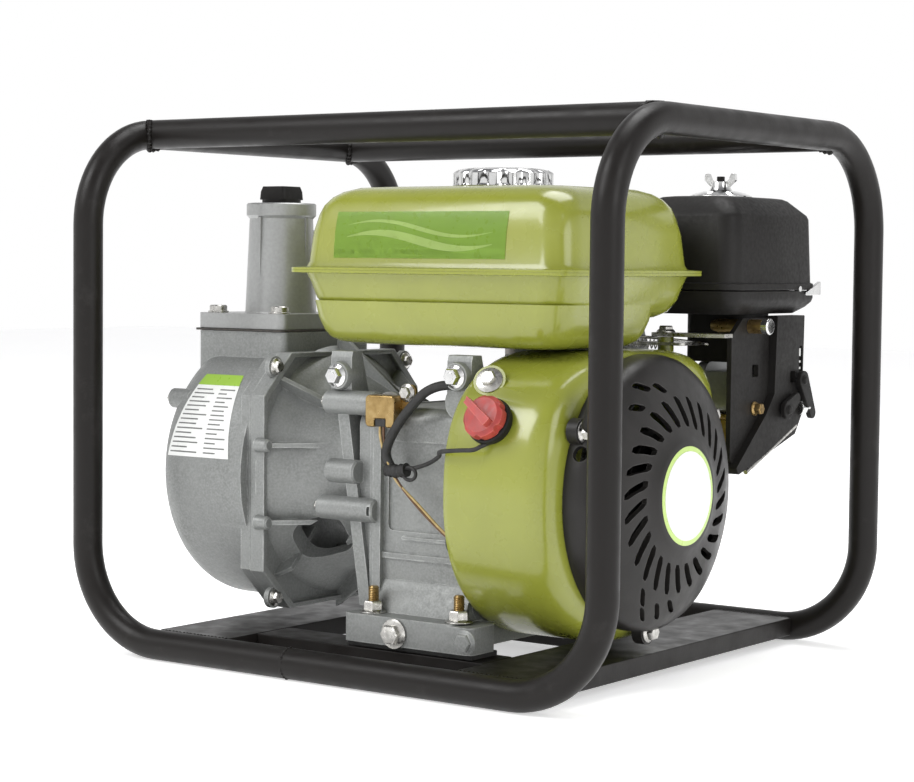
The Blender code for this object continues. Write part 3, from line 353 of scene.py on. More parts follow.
def rounded(low, high, radius, steps=8):
    """A rectangle with round corners, as plane points."""
    centres = [
        (high[0] - radius, high[1] - radius),
        (low[0] + radius, high[1] - radius),
        (low[0] + radius, low[1] + radius),
        (high[0] - radius, low[1] + radius),
    ]
    points = []
    for quarter, (cx, cy) in enumerate(centres):
        for step in range(steps + 1):
            angle = (quarter + step / steps) * pi / 2
            points.append((cx + radius * cos(angle), cy + radius * sin(angle)))
    return points


def rounded_polygon(points, radius, steps=5):
    """A polygon with each corner turned into an arc; radius may be one number per corner."""
    radii = radius if isinstance(radius, (list, tuple)) else [radius] * len(points)
    made = []
    for k, corner in enumerate(points):
        before, here, after = Vector(points[k - 1]), Vector(corner), Vector(points[(k + 1) % len(points)])
        inward, outward = (before - here).normalized(), (after - here).normalized()
        half = inward.angle(outward) / 2
        reach = radii[k] / (sin(half) / cos(half))
        centre = here + (inward + outward).normalized() * radii[k] / sin(half)
        first, last = here + inward * reach - centre, here + outward * reach - centre
        for step in range(steps + 1):
            made.append(tuple(centre + first.slerp(last, step / steps)))
    return made


def circle(centre, radius, sides=48):
    return [
        (centre[0] + radius * cos(2 * pi * k / sides), centre[1] + radius * sin(2 * pi * k / sides))
        for k in range(sides)
    ]


def filleted(points, radius, steps=16):
    """A path with each inner corner turned into an arc."""
    path = [Vector(points[0])]
    for before, corner, after in zip(points, points[1:], points[2:]):
        before, corner, after = Vector(before), Vector(corner), Vector(after)
        inward, outward = (before - corner).normalized(), (after - corner).normalized()
        centre = corner + (inward + outward) * radius
        for step in range(steps + 1):
            angle = step / steps * pi / 2
            path.append(centre - outward * radius * cos(angle) - inward * radius * sin(angle))
    path.append(Vector(points[-1]))
    return path


def spline(points, steps=8):
    """Points along a Catmull-Rom curve through the given ones."""
    p = [Vector(points[0]), *map(Vector, points), Vector(points[-1])]
    path = []
    for a, b, c, d in zip(p, p[1:], p[2:], p[3:]):
        for step in range(steps):
            t = step / steps
            path.append(0.5 * (2 * b + (c - a) * t + (2 * a - 5 * b + 4 * c - d) * t**2
                               + (3 * b - a - 3 * c + d) * t**3))
    path.append(p[-1])
    return path


# ---------------------------------------------------------------- solids

AXES = {
    "X": lambda a, b, along: Vector((along, a, b)),
    "Y": lambda a, b, along: Vector((a, along, b)),
    "Z": lambda a, b, along: Vector((a, b, along)),
}


def solid(rings, closed=False):
    """Join rings of equally many points into one closed solid, capped at both ends."""
    bm = bmesh.new()
    verts = [[bm.verts.new(point) for point in ring] for ring in rings]
    count = len(rings[0])
    pairs = list(zip(verts, verts[1:]))
    if closed:
        pairs.append((verts[-1], verts[0]))
    for lower, upper in pairs:
        for k in range(count):
            j = (k + 1) % count
            bm.faces.new((lower[k], lower[j], upper[j], upper[k]))
    if not closed:
        bm.faces.new(reversed(verts[0]))
        bm.faces.new(verts[-1])
    bmesh.ops.recalc_face_normals(bm, faces=bm.faces)
    return bm


def prism(outline, axis, start, end):
    place = AXES[axis]
    return solid([[place(a, b, start) for a, b in outline], [place(a, b, end) for a, b in outline]])


def block(low, high):
    return prism([(low[0], low[1]), (high[0], low[1]), (high[0], high[1]), (low[0], high[1])], "Z", low[2], high[2])


def turned(profile, axis, centre, sides=72):
    """Turn a closed loop of (radius, place along the axis) about an axis through centre."""
    rings = []
    for k in range(sides):
        angle = 2 * pi * k / sides
        rings.append([
            AXES[axis](centre[0] + r * cos(angle), centre[1] + r * sin(angle), along)
            for r, along in profile
        ])
    bm = solid(rings, closed=True)
    bmesh.ops.remove_doubles(bm, verts=bm.verts, dist=0.001)
    bmesh.ops.recalc_face_normals(bm, faces=bm.faces)
    return bm


def disc(axis, centre, radius, start, end, sides=48):
    return prism(circle(centre, radius, sides), axis, start, end)


def ring(axis, centre, inner, outer, start, end, sides=64):
    return turned([(inner, start), (outer, start), (outer, end), (inner, end)], axis, centre, sides)


def sweep(path, radius, sides=24, closed=False):
    """A round bar along a path; radius may be a function of the point's number."""
    size = radius if callable(radius) else lambda number: radius
    count = len(path)
    normal = Vector((0.0, 0.0, 1.0))
    if abs((path[1] - path[0]).normalized().z) > 0.9:
        normal = Vector((1.0, 0.0, 0.0))
    rings = []
    for k, point in enumerate(path):
        before = path[k - 1] if closed else path[max(k - 1, 0)]
        after = path[(k + 1) % count] if closed else path[min(k + 1, count - 1)]
        tangent = (after - before).normalized()
        normal = (normal - tangent * normal.dot(tangent)).normalized()
        side = tangent.cross(normal)
        rings.append([
            point + size(k) * (normal * cos(2 * pi * j / sides) + side * sin(2 * pi * j / sides))
            for j in range(sides)
        ])
    return solid(rings, closed)


def placed(bm, matrix):
    bmesh.ops.transform(bm, matrix=matrix, verts=bm.verts)
    return bm


def aimed(bm, at, direction):
    """Put a solid made along +Z at a point, facing a direction."""
    turn = Vector(direction).to_track_quat("Z", "Y").to_matrix().to_4x4()
    return placed(bm, Matrix.Translation(Vector(at)) @ turn)


def along_bore(bm):
    """Tilt a solid made with the crank axis as its X axis and the bore along Y."""
    tilt = Matrix.Translation((0.0, *CRANK)) @ Matrix.Rotation(BORE_TILT, 4, "X")
    return placed(bm, tilt)


def round_crank(bm, degrees):
    """Turn a solid made about the origin round the crankshaft's axis."""
    return placed(bm, Matrix.Translation((0.0, *CRANK)) @ Matrix.Rotation(radians(degrees), 4, "X"))


def merged(*solids):
    """Several closed solids as the bodies of one mesh."""
    joined = bmesh.new()
    for bm in solids:
        mesh = bpy.data.meshes.new("body")
        bm.to_mesh(mesh)
        bm.free()
        joined.from_mesh(mesh)
        bpy.data.meshes.remove(mesh)
    return joined


# ---------------------------------------------------------------- pieces

def new_object(name, bm):
    placed(bm, Matrix.Scale(MM, 4))
    mesh = bpy.data.meshes.new(name)
    bm.to_mesh(mesh)
    bm.free()
    made = bpy.data.objects.new(name, mesh)
    bpy.context.scene.collection.objects.link(made)
    return made


def shaped(made, operation, solids):
    """Join solids to a mesh object, or cut them from it, for good."""
    helpers = [new_object("helper", bm) for bm in solids]
    for helper in helpers:
        modifier = made.modifiers.new(operation, "BOOLEAN")
        modifier.operation = operation
        modifier.object = helper
        modifier.solver = "EXACT"
    depsgraph = bpy.context.evaluated_depsgraph_get()
    mesh = bpy.data.meshes.new_from_object(made.evaluated_get(depsgraph))
    made.modifiers.clear()
    made.data = mesh
    for helper in helpers:
        bpy.data.objects.remove(helper)


def cleaned(mesh):
    """Merge the slivers that a cut leaves, so that a bevel can run along whole edges."""
    bm = bmesh.new()
    bm.from_mesh(mesh)
    bmesh.ops.remove_doubles(bm, verts=bm.verts, dist=0.00002)
    bmesh.ops.dissolve_limit(bm, angle_limit=radians(0.5), verts=bm.verts, edges=bm.edges)
    bm.to_mesh(mesh)
    bm.free()


def finished(made, look, bevel, segments, angle):
    made.data.materials.clear()
    made.data.materials.append(LOOKS[look])
    made.data.shade_smooth()
    made.data.set_sharp_from_angle(angle=radians(angle))
    if bevel:
        modifier = made.modifiers.new("round", "BEVEL")
        modifier.width = bevel * MM
        modifier.segments = segments
        modifier.limit_method = "ANGLE"
        modifier.angle_limit = radians(angle)
        modifier.harden_normals = True
        modifier.use_clamp_overlap = True


def piece(name, bm, look, body="root", replaces=(), add=(), cut=(), bevel=0.0, segments=3, angle=32.0):
    """A finished mesh piece that rides on a CAD body."""
    made = new_object(name, bm)
    if add:
        shaped(made, "UNION", add)
    if cut:
        shaped(made, "DIFFERENCE", cut)
    if add or cut:
        cleaned(made.data)
    finished(made, look, bevel, segments, angle)
    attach(made, body)
    if replaces:
        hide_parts(*replaces)
    return made


def kept(node, look, bevel=0.6, segments=2):
    """A CAD node that stays, with softened edges and its own procedural material."""
    made = frame["nodes"][node]
    made.data.materials.clear()
    made.data.materials.append(LOOKS[look])
    weld = made.modifiers.new("weld", "WELD")
    weld.merge_threshold = 0.00002
    modifier = made.modifiers.new("round", "BEVEL")
    modifier.width = bevel * MM
    modifier.segments = segments
    modifier.limit_method = "ANGLE"
    modifier.angle_limit = radians(32.0)
    modifier.harden_normals = True


# ---------------------------------------------------------------- fasteners

def hex_head(across, height, washer=0.0):
    """A hexagon head along +Z with a chamfered crown, on a flange if washer is its radius."""
    radius = across / 2 / cos(pi / 6)
    crown = height * 0.18
    rings = [
        [Vector((a, b, z)) for a, b in circle((0.0, 0.0), r, 6)]
        for r, z in ((radius, 0.0), (radius, height - crown), (radius * 0.86, height))
    ]
    solids = [solid(rings)]
    if washer:
        solids.append(turned([(0.0, 0.0), (washer, 0.0), (washer, 0.9), (radius * 0.95, 2.4), (0.0, 2.4)],
                             "Z", (0.0, 0.0), 32))
    return merged(*solids)


def hollow_head(across, height, washer):
    """A flanged hexagon head with a dished crown."""
    radius = across / 2 / cos(pi / 6)
    dish = disc("Z", (0.0, 0.0), radius * 0.5, height * 0.72, height + 0.2, 24)
    return hex_head(across, height, washer), dish


def bolts(name, places, direction, across, height, washer=0.0, look="zinc_steel", bevel=0.25):
    heads = [aimed(hex_head(across, height, washer), place, direction) for place in places]
    return piece(name, merged(*heads), look, bevel=bevel, segments=2)


# ---------------------------------------------------------------- roll frame

TUBE_R = 11.0
BEND_R = 70.0


def make_hoop(node, side):
    low, high = span(node)
    x = side * (max(abs(low.x), abs(high.x)) - TUBE_R)
    seam = high.x if side < 0 else low.x
    y, top = high.y - TUBE_R, high.z - TUBE_R
    corners = [(seam, -y, TUBE_R), (x, -y, TUBE_R), (x, -y, top), (x, y, top), (x, y, TUBE_R), (seam, y, TUBE_R)]
    piece(f"{node}_tube", sweep(filleted(corners, BEND_R, 20), TUBE_R, 40), "frame_black_coat",
          replaces=[node])


def weld_bead(path, size=2.0, ripple=0.45, waves=26):
    count = len(path)
    return sweep(path, lambda k: size + ripple * sin(2 * pi * waves * k / count), 10, closed=True)


def pressed_inside(bm):
    """Grind a weld bead flush where it would stand out past the whole object's box."""
    low, high = (Vector(corner) / MM for corner in cad_box)
    for vert in bm.verts:
        vert.co = Vector([min(max(c, a), b) for c, a, b in zip(vert.co, low, high)])
    return bm


def make_rail(node):
    """A top rail with its ends notched over the hoops and welded round."""
    low, high = span(node)
    centre = (low + high) / 2
    reach = span("right_hoop")[1].x - TUBE_R
    path = [Vector((-reach, centre.y, centre.z)), Vector((reach, centre.y, centre.z))]
    piece(f"{node}_tube", sweep(path, TUBE_R, 40), "frame_black_coat", replaces=[node])
    beads = []
    for side in (-1, 1):
        saddle = []
        for k in range(104):
            angle = 2 * pi * k / 104
            drop = (1.0 - sin(angle) ** 2 * 0.985) ** 0.5
            saddle.append(Vector((side * (reach - TUBE_R * drop), centre.y + (TUBE_R + 0.4) * cos(angle),
                                  centre.z + (TUBE_R + 0.4) * sin(angle))))
        beads.append(weld_bead(saddle))
    piece(f"{node}_welds", pressed_inside(merged(*beads)), "frame_black_coat")


def make_roll_frame():
    make_hoop("left_hoop", -1)
    make_hoop("right_hoop", 1)
    make_rail("front_top_rail")
    make_rail("rear_top_rail")
    seam_x = (span("left_hoop")[1].x + span("right_hoop")[0].x) / 2
    y = span("left_hoop")[1].y - TUBE_R
    joints = []
    for side in (-1, 1):
        loop = [Vector((seam_x, side * y + (TUBE_R - 0.6) * cos(2 * pi * k / 90),
                        TUBE_R + (TUBE_R - 0.6) * sin(2 * pi * k / 90))) for k in range(90)]
        joints.append(weld_bead(loop, 1.2, 0.3, 22))
    piece("hoop_joint_welds", pressed_inside(merged(*joints)), "frame_black_coat")
    for node in ("pump_cross_plate", "starter_cross_plate", "front_engine_rail", "rear_engine_rail"):
        kept(node, "frame_black_coat", 1.2)
    for node in ("front_rubber_mount", "rear_rubber_mount"):
        kept(node, "black_rubber", 0.8)
    beads = []
    for node in ("pump_cross_plate", "starter_cross_plate"):
        low, high = span(node)
        for side in (-1, 1):
            path = [Vector((low.x + 2 + (high.x - low.x - 4) * k / 60, side * (high.y + 0.4), high.z - 1.5))
                    for k in range(61)]
            beads.append(sweep(path, lambda k: 1.8 + 0.4 * sin(k * 1.9), 10))
    piece("cross_plate_welds", merged(*beads), "frame_black_coat")


# ---------------------------------------------------------------- pump

FLANGE_CHAMFER = 34.0


def flange_outline(low, high, inset=0.0, radius=7.0):
    y0, y1, z0, z1 = low.y + inset, high.y - inset, low.z + inset, high.z - inset
    c = FLANGE_CHAMFER
    corners = [(y1 - c, z1), (y0 + c, z1), (y0, z1 - c), (y0, z0 + c),
               (y0 + c, z0), (y1 - c, z0), (y1, z0 + c), (y1, z1 - c)]
    return rounded_polygon(corners[::-1], radius)


def corner_bolts(low, high):
    """Places on the flange's slanted corners, inside its edge."""
    inset = FLANGE_CHAMFER * 0.62
    return [
        (y, z)
        for y in (low.y + inset, high.y - inset)
        for z in (low.z + inset * 0.75, high.z - inset * 0.75)
    ]


def crank_place(radius, degrees):
    """The (y, z) at a radius from the crankshaft's axis."""
    angle = radians(degrees)
    return CRANK[0] + radius * cos(angle), CRANK[1] + radius * sin(angle)


RIM_WIDTH = 5.5
RIM_HEIGHT = 5.0
WEB_HALF = 1.7
WINDOW_ANGLES = (220.0, 320.0)
BLADE_ANGLES = (0.0, 45.0, 90.0, 135.0, 225.0, 270.0, 315.0)


def make_bracket():
    """The bell between pump and engine: a rimmed plate, a flared cone, thin webs and bolt bosses."""
    low, high = span("pump_bracket")
    face = span("pump_casing")[1].x + 0.3
    plate_end = face + 8.6
    outer, inner = flange_outline(low, high), flange_outline(low, high, RIM_WIDTH, 5.0)
    rings = [
        [Vector((x, a, b)) for a, b in outline]
        for outline, x in ((outer, face), (outer, plate_end + RIM_HEIGHT), (inner, plate_end + RIM_HEIGHT),
                           (inner, plate_end))
    ]
    bell = turned(
        [(70.0, plate_end - 3), (95.0, plate_end - 3), (93.0, plate_end + 2), (83.0, plate_end + 11),
         (77.0, plate_end + 19), (66.0, -60.0), (61.0, -50.0), (60.0, high.x), (44.0, high.x), (44.0, -46.0),
         (56.0, -54.0), (70.0, plate_end + 14)],
        "X", CRANK, 96,
    )
    extra = []
    for degrees in BLADE_ANGLES:
        outline = [(58.0, -44.0), (58.0, plate_end - 1), (106.0, plate_end - 1), (104.0, plate_end + 3), (62.0, -46.0)]
        blade = solid([[Vector((along, r, half)) for r, along in outline] for half in (-WEB_HALF, WEB_HALF)])
        extra.append(round_crank(blade, degrees))
    for z in (CRANK[1] + 24.0, CRANK[1] - 33.0):
        outline = [(plate_end - 1, low.y + 3), (plate_end + 5, low.y + 3), (-58.0, CRANK[0] - 56),
                   (plate_end - 1, CRANK[0] - 56)]
        extra.append(prism(outline, "Z", z - WEB_HALF, z + WEB_HALF))
        for y in (low.y + 5.5, low.y + 31.0):
            extra.append(turned([(0.0, plate_end - 1), (5.6, plate_end - 1), (4.8, plate_end + 9),
                                 (3.6, plate_end + 10.5), (0.0, plate_end + 10.5)], "X", (y, z), 32))
    pads = [disc("X", place, 8.0, plate_end - 1, plate_end + 3.0, 32) for place in corner_bolts(low, high)]
    windows = []
    for degrees in WINDOW_ANGLES:
        window = prism(rounded((-92.0, -19.0), (-56.0, 19.0), 12.0, 5), "Z", 30.0, 99.0)
        windows.append(round_crank(window, degrees - 90.0))
    hole = disc("X", CRANK, 14.0, face - 5, plate_end + 20.0, 48)
    piece("pump_bracket_casting", solid(rings), "cast_paint", replaces=["pump_bracket"],
          bevel=0.9)
    piece("pump_bracket_bell", bell, "cast_paint", add=[*extra, *pads], cut=[hole, *windows],
          bevel=0.8)
    bolts("bracket_bolts", [(plate_end + 3.0, *place) for place in corner_bolts(low, high)], (1, 0, 0), 8.0, 5.0, 6.5)


CASING_R = 101.0
SHOULDER_R = 26.0


def casing_radius(x):
    """The casing's radius at a place along the shaft, with its round shoulder at the inlet end."""
    into = span("pump_casing")[0].x + SHOULDER_R - x
    if into <= 0:
        return CASING_R
    return CASING_R - SHOULDER_R + (SHOULDER_R**2 - min(into, SHOULDER_R) ** 2) ** 0.5


def make_casing():
    """The pressure casing: a round bowl on a flange, with the square neck for the outlet."""
    low, high = span("pump_casing")
    end = low.x
    plate = prism(flange_outline(*span("pump_bracket"), 0.6), "X", high.x - 9.0, high.x)
    shoulder = [end + SHOULDER_R * (1.0 - sin(k * pi / 20)) for k in range(11)]
    bowl = turned([(CASING_R, high.x - 3), *((casing_radius(x), x) for x in shoulder), (30.0, end), (30.0, end + 8),
                   (94.0, end + 30), (94.0, high.x - 3)], "X", CRANK, 128)
    neck_top = span("outlet_gasket")[0].z - 0.3
    neck_low, neck_high = (end + 3.0, CRANK[0] - 53.0), (high.x - 1.5, CRANK[0] + 51.0)
    neck = prism(rounded(neck_low, neck_high, 6.0), "Z", CRANK[1] + 46.0, neck_top)
    bolt_place = crank_place(94.0, 145.0)
    boss = disc("X", bolt_place, 7.5, end + 2.0, end + 22.0, 32)
    drain = disc("X", (CRANK[0], CRANK[1] - 72.0), 15.0, end, end + 12.0, 40)
    hollow = disc("X", CRANK, 24.0, end - 5, end + 20, 48)
    well = disc("Z", (centre_of("outlet_column").x, centre_of("filler_plug").y), 23.0, neck_top - 40, neck_top + 5)
    piece("pump_casing_shell", plate, "cast_paint", replaces=["pump_casing"],
          add=[bowl, neck, boss, drain], cut=[hollow, well], bevel=1.4)
    bolts("casing_end_bolt", [(end + 2.0, *bolt_place)], (-1, 0, 0), 8.0, 4.5, 6.4)


def casing_patch(corners, lift, steps=12):
    """A thin film on the casing between (left, right, degrees) at its top and at its bottom."""
    (left0, right0, degrees0), (left1, right1, degrees1) = corners
    bm = bmesh.new()
    grid = []
    for k in range(steps + 1):
        share = k / steps
        left, right = left0 + (left1 - left0) * share, right0 + (right1 - right0) * share
        angle = 180.0 - (degrees0 + (degrees1 - degrees0) * share)
        row = []
        for j in range(steps + 1):
            x = left + (right - left) * j / steps
            row.append(bm.verts.new((x, *crank_place(casing_radius(x) + lift, angle))))
        grid.append(row)
    for lower, upper in zip(grid, grid[1:]):
        for j in range(steps):
            bm.faces.new((lower[j], lower[j + 1], upper[j + 1], upper[j]))
    bmesh.ops.recalc_face_normals(bm, faces=bm.faces)
    bmesh.ops.solidify(bm, geom=bm.faces, thickness=0.2)
    bmesh.ops.recalc_face_normals(bm, faces=bm.faces)
    return bm


DATA_ROWS = 15


def make_data_plate():
    """A generic data plate wrapped on the casing: green header and plain grey rows."""
    end = span("pump_casing")[0].x
    top, bottom = (end + 29.0, end + 66.0, 46.0), (end + 14.0, end + 77.0, 7.0)

    def across(share):
        """The plate's left, right and angle at a share of its height."""
        return tuple(a + (b - a) * share for a, b in zip(top, bottom))

    piece("data_plate", casing_patch((top, bottom), 0.30), "label_white")
    piece("data_plate_header", casing_patch((top, across(0.15)), 0.50), "label_green")
    rows = []
    for k in range(DATA_ROWS):
        share = 0.21 + 0.74 * k / (DATA_ROWS - 1)
        left, right, degrees = across(share)
        width = right - left
        first = left + width * (0.42 + 0.10 * sin(k * 2.3))
        second = right - width * (0.06 + 0.16 * sin(k * 1.7) ** 2)
        for start, stop in ((left + width * 0.05, first), (left + width * 0.60, second)):
            rows.append(casing_patch(((start, stop, degrees + 0.28), (start, stop, degrees - 0.28)), 0.50, 4))
    piece("data_plate_rows", merged(*rows), "label_grey")


def make_inlet():
    low, high = span("inlet_nipple")
    outer, pipe, bore = (high.y - low.y) / 2, 30.0, 22.0
    threads = []
    for k in range(7):
        at = low.x + 2.0 + 2.6 * k
        threads += [(pipe - 1.3, at), (pipe, at + 1.3)]
    profile = [(bore, high.x), (outer, high.x), (outer, high.x - 8.7), (pipe + 3, high.x - 8.7), (pipe, high.x - 12)]
    profile += [(r, at) for r, at in reversed(threads)] + [(pipe - 1.3, low.x), (bore, low.x)]
    lugs = [disc("X", place, 9.0, high.x - 8.7, high.x, 32)
            for place in ((CRANK[0] - 33, CRANK[1] - 33), (CRANK[0] + 33, CRANK[1] - 33),
                          (CRANK[0] - 33, CRANK[1] + 33), (CRANK[0] + 33, CRANK[1] + 33))]
    piece("suction_nipple", turned(profile, "X", CRANK, 96), "machined_aluminium",
          replaces=["inlet_nipple"], add=lugs, bevel=0.6)
    places = [(high.x - 8.7, CRANK[0] + a, CRANK[1] + b) for a in (-33, 33) for b in (-33, 33)]
    bolts("suction_nipple_bolts", places, (-1, 0, 0), 10.0, 6.0, 7.5)
    kept("inlet_flap", "black_rubber", 0.3)
    at = pivot_of("pump_drain_turn")
    head = aimed(hex_head(17.0, 8.7, 0.0), at + Vector((-0.2, 0, 0)), (-1, 0, 0))
    piece("drain_plug_head", head, "zinc_steel", "pump_drain", ["drain_plug"], bevel=0.4)


def make_outlet():
    """Discharge column with its square foot, side nipple, rim and priming plug."""
    low, high = span("outlet_column")
    centre = (pivot_of("priming_plug_turn").x, pivot_of("priming_plug_turn").y)
    kept("outlet_gasket", "gasket_fibre", 0.3)
    foot = prism(rounded((low.x, low.y), (high.x, 6.0), 9.0), "Z", low.z, low.z + 11.5)
    top = high.z
    column = turned(
        [(0.0, low.z + 5), (30.0, low.z + 5), (27.6, low.z + 13), (24.6, top - 12), (27.0, top - 9.5),
         (27.0, top - 1), (26.0, top), (0.0, top)],
        "Z", centre, 96,
    )
    seams = [block((centre[0] - 26.0, centre[1] - 1.2, low.z + 8), (centre[0] + 26.0, centre[1] + 1.2, top - 11)),
             block((centre[0] - 1.5, centre[1] - 26.5, low.z + 8), (centre[0] + 1.5, centre[1] + 0.0, top - 11))]
    spout_z = 296.0
    spout = turned([(0.0, centre[1]), (22.0, centre[1]), (22.0, high.y - 18), (24.0, high.y - 16.5),
                    (22.6, high.y - 15), (24.0, high.y - 13), (22.6, high.y - 11), (24.0, high.y - 9),
                    (22.6, high.y - 7), (24.0, high.y - 5), (22.6, high.y - 3), (23.4, high.y - 1), (22.8, high.y),
                    (0.0, high.y)], "Y", (centre[0], spout_z), 72)
    bore = disc("Z", centre, 19.0, low.z - 5, top - 20, 48)
    filler = disc("Z", centre, 12.0, top - 30, top + 5, 40)
    port = disc("Y", (centre[0], spout_z), 18.5, centre[1], high.y + 5, 48)
    piece("outlet_column_casting", foot, "machined_aluminium", replaces=["outlet_column"],
          add=[column, *seams, spout], cut=[bore, filler, port], bevel=0.9)
    places = [(x, y) for x in (low.x + 13, high.x - 13) for y in (low.y + 12, -6.0)]
    heads = []
    for x, y in places:
        heads.append(turned([(0.0, low.z + 11.5), (8.0, low.z + 11.5), (8.0, low.z + 12.8), (6.8, low.z + 12.8),
                             (6.8, low.z + 16.5), (6.0, low.z + 17.3), (3.2, low.z + 17.3), (3.2, low.z + 14.5),
                             (0.0, low.z + 14.5)], "Z", (x, y), 32))
    piece("outlet_foot_bolts", merged(*heads), "zinc_steel", bevel=0.2)

    plug_low, plug_high = span("filler_plug")
    half = (plug_high.x - plug_low.x) / 2
    cap_low = top + 0.3
    rings = []
    for z, inset in ((cap_low + 2.5, 0.0), (plug_high.z - 4, 0.4), (plug_high.z, 1.6)):
        rings.append([Vector((centre[0] + a, centre[1] + b, z))
                      for a, b in rounded((inset - half, inset - half), (half - inset, half - inset), 4.0)])
    skirt = disc("Z", centre, half + 2.0, cap_low, cap_low + 3.0, 48)
    piece("priming_plug_cap", solid(rings), "black_plastic", "priming_plug", ["filler_plug"],
          add=[skirt], bevel=1.0)


# ---------------------------------------------------------------- engine block

def make_crankcase():
    """Crankcase, base and finned barrel of one casting, with its panels and ridges."""
    low, high = span("crankcase")
    case_x = (span("side_cover")[1].x + 0.3, span("blower_housing")[0].x - 2.0)
    case_y, case_z = (-118.0, 14.0), (42.0, 190.0)
    base_top = 44.0
    body = prism(rounded((case_y[0], case_z[0]), (case_y[1], case_z[1]), 12.0, 6), "X", *case_x)
    base = prism(rounded((low.x, low.y), (case_x[1] + 1.0, high.y), 5.0, 4), "Z", low.z, base_top)
    foot_low, foot_high = (60.0, low.y), (96.0, case_y[0] + 4.0)
    feet = [
        prism(rounded(foot_low, foot_high, 5.0, 4), "Z", low.z, base_top - 1),
        prism(rounded((60.0, 36.0), (96.0, 57.0), 5.0, 4), "Z", low.z, base_top - 1),
    ]
    front = case_y[0]
    skirt = prism([(front - 10, base_top - 2), (front - 1, base_top + 22), (front + 8, base_top + 30),
                   (front + 8, base_top - 2)], "X", case_x[0] + 0.5, case_x[1] - 0.5)
    ledge = prism(rounded((case_x[0] + 4, base_top + 38), (case_x[1] - 0.5, base_top + 42), 1.5, 3), "Y", front - 2.0,
                  front + 4)
    shelf = prism(rounded((case_x[0] + 24, base_top + 52), (case_x[1] - 0.5, base_top + 54.5), 1.0, 3), "Y",
                  front - 1.6, front + 4)
    joint_strip = prism(rounded((case_x[0], base_top + 8), (case_x[0] + 7, case_z[1] - 6), 3.0, 4), "Y", front - 4.5,
                        front + 6)
    alert_boss = disc("Y", (4.0, 188.0), 13.0, front - 0.8, front + 6, 40)
    pillar_boss = disc("Y", (68.0, 196.0), 12.0, front - 5.0, front + 16, 40)
    recess = prism(rounded((case_x[0] + 11, base_top + 58), (case_x[1] - 8, case_z[1] - 24), 4.0, 5), "Y", front - 5,
                   front + 1.8)
    comb = [(30.0, 38.0)]
    for k in range(6):
        place = 74.0 + 13.0 * k
        reach = 41.0 if k < 2 else 45.0
        comb += [(place, 38.0), (place + 0.4, reach), (place + 2.6, reach), (place + 3.0, 38.0)]
    comb += [(149.7, 38.0)]
    outline = comb + [(s, -u) for s, u in reversed(comb)]
    half = 39.0
    barrel = along_bore(prism(outline, "X", CYLINDER_X - half, CYLINDER_X + half))
    hole = disc("X", CRANK, 12.4, case_x[1] - 20, case_x[1] + 10, 40)
    drain = disc("Y", (pivot_of("oil_drain_turn").x, pivot_of("oil_drain_turn").z), 5.3, low.y - 5, low.y + 15, 32)
    hollow = block((case_x[0] - 5, case_y[0] + 9, case_z[0] + 9), (case_x[1] - 9, case_y[1] - 9, case_z[1] - 9))
    bore = along_bore(prism(circle((CYLINDER_X, 0.0), 34.2, 64), "Y", 20.0, 170.0))
    piece("crankcase_casting", body, "cast_paint", replaces=["crankcase"],
          add=[base, *feet, skirt, ledge, shelf, joint_strip, alert_boss, pillar_boss, barrel],
          cut=[recess, hole, drain, hollow, bore], bevel=1.1)


def make_base_fasteners():
    low, high = span("crankcase")
    top = 44.0
    front_y, rear_y = low.y + 13.5, high.y - 13.5
    nuts, studs = [], []
    for x in (low.x + 17.0, 76.0):
        for y in (front_y, rear_y):
            nuts.append(aimed(hex_head(13.0, 8.5, 10.0), (x, y, top), (0, 0, 1)))
            ridges = []
            for k in range(9):
                z = top + 7.5 + 1.25 * k
                ridges += [(4.0, z), (3.5, z + 0.62)]
            studs.append(turned([(0.0, top + 7), *ridges, (2.8, top + 19), (0.0, top + 19)], "Z", (x, y), 28))
    piece("base_nuts", merged(*nuts), "zinc_steel", bevel=0.4)
    piece("base_studs", merged(*studs), "yellow_chromate")

    at = pivot_of("oil_drain_turn")
    head, dish = hollow_head(13.0, 7.4, 10.5)
    piece("oil_drain_head", aimed(head, at + Vector((0, -0.6, 0)), (0, -1, 0)), "zinc_steel", "oil_drain",
          ["oil_drain_bolt"], cut=[aimed(dish, at + Vector((0, -0.6, 0)), (0, -1, 0))], bevel=0.3)
    bolts("foot_plugs", [(91.0, low.y, 33.0)], (0, -1, 0), 12.0, 5.0, 9.0, "cast_paint")

    cap_low, cap_high = span("oil_filler_cap")
    at = pivot_of("oil_cap_turn")
    grooves = []
    for k in range(16):
        angle = 2 * pi * k / 16
        grooves.append(disc("Y", (at.x + 15.2 * cos(angle), at.z + 15.2 * sin(angle)), 2.2, cap_low.y + 6,
                            cap_high.y + 3, 12))
    cap = turned([(0.0, cap_low.y), (9.0, cap_low.y), (9.0, at.y + 0.4), (14.0, at.y + 0.4), (14.0, cap_high.y - 2),
                  (12.0, cap_high.y), (0.0, cap_high.y)], "Y", (at.x, at.z), 64)
    grip = block((at.x - 2.5, cap_high.y - 2, at.z - 11), (at.x + 2.5, cap_high.y, at.z + 11))
    piece("oil_filler_cap_body", cap, "black_plastic", "oil_cap", ["oil_filler_cap"],
          add=[grip], cut=grooves, bevel=0.5)


def cover_boss(z, radius, start, end, y):
    return turned([(0.0, start), (radius - 1.2, start), (radius, start + 1.5), (radius, end - 1.5),
                   (radius - 1.2, end), (0.0, end)], "X", (y, z), 40)


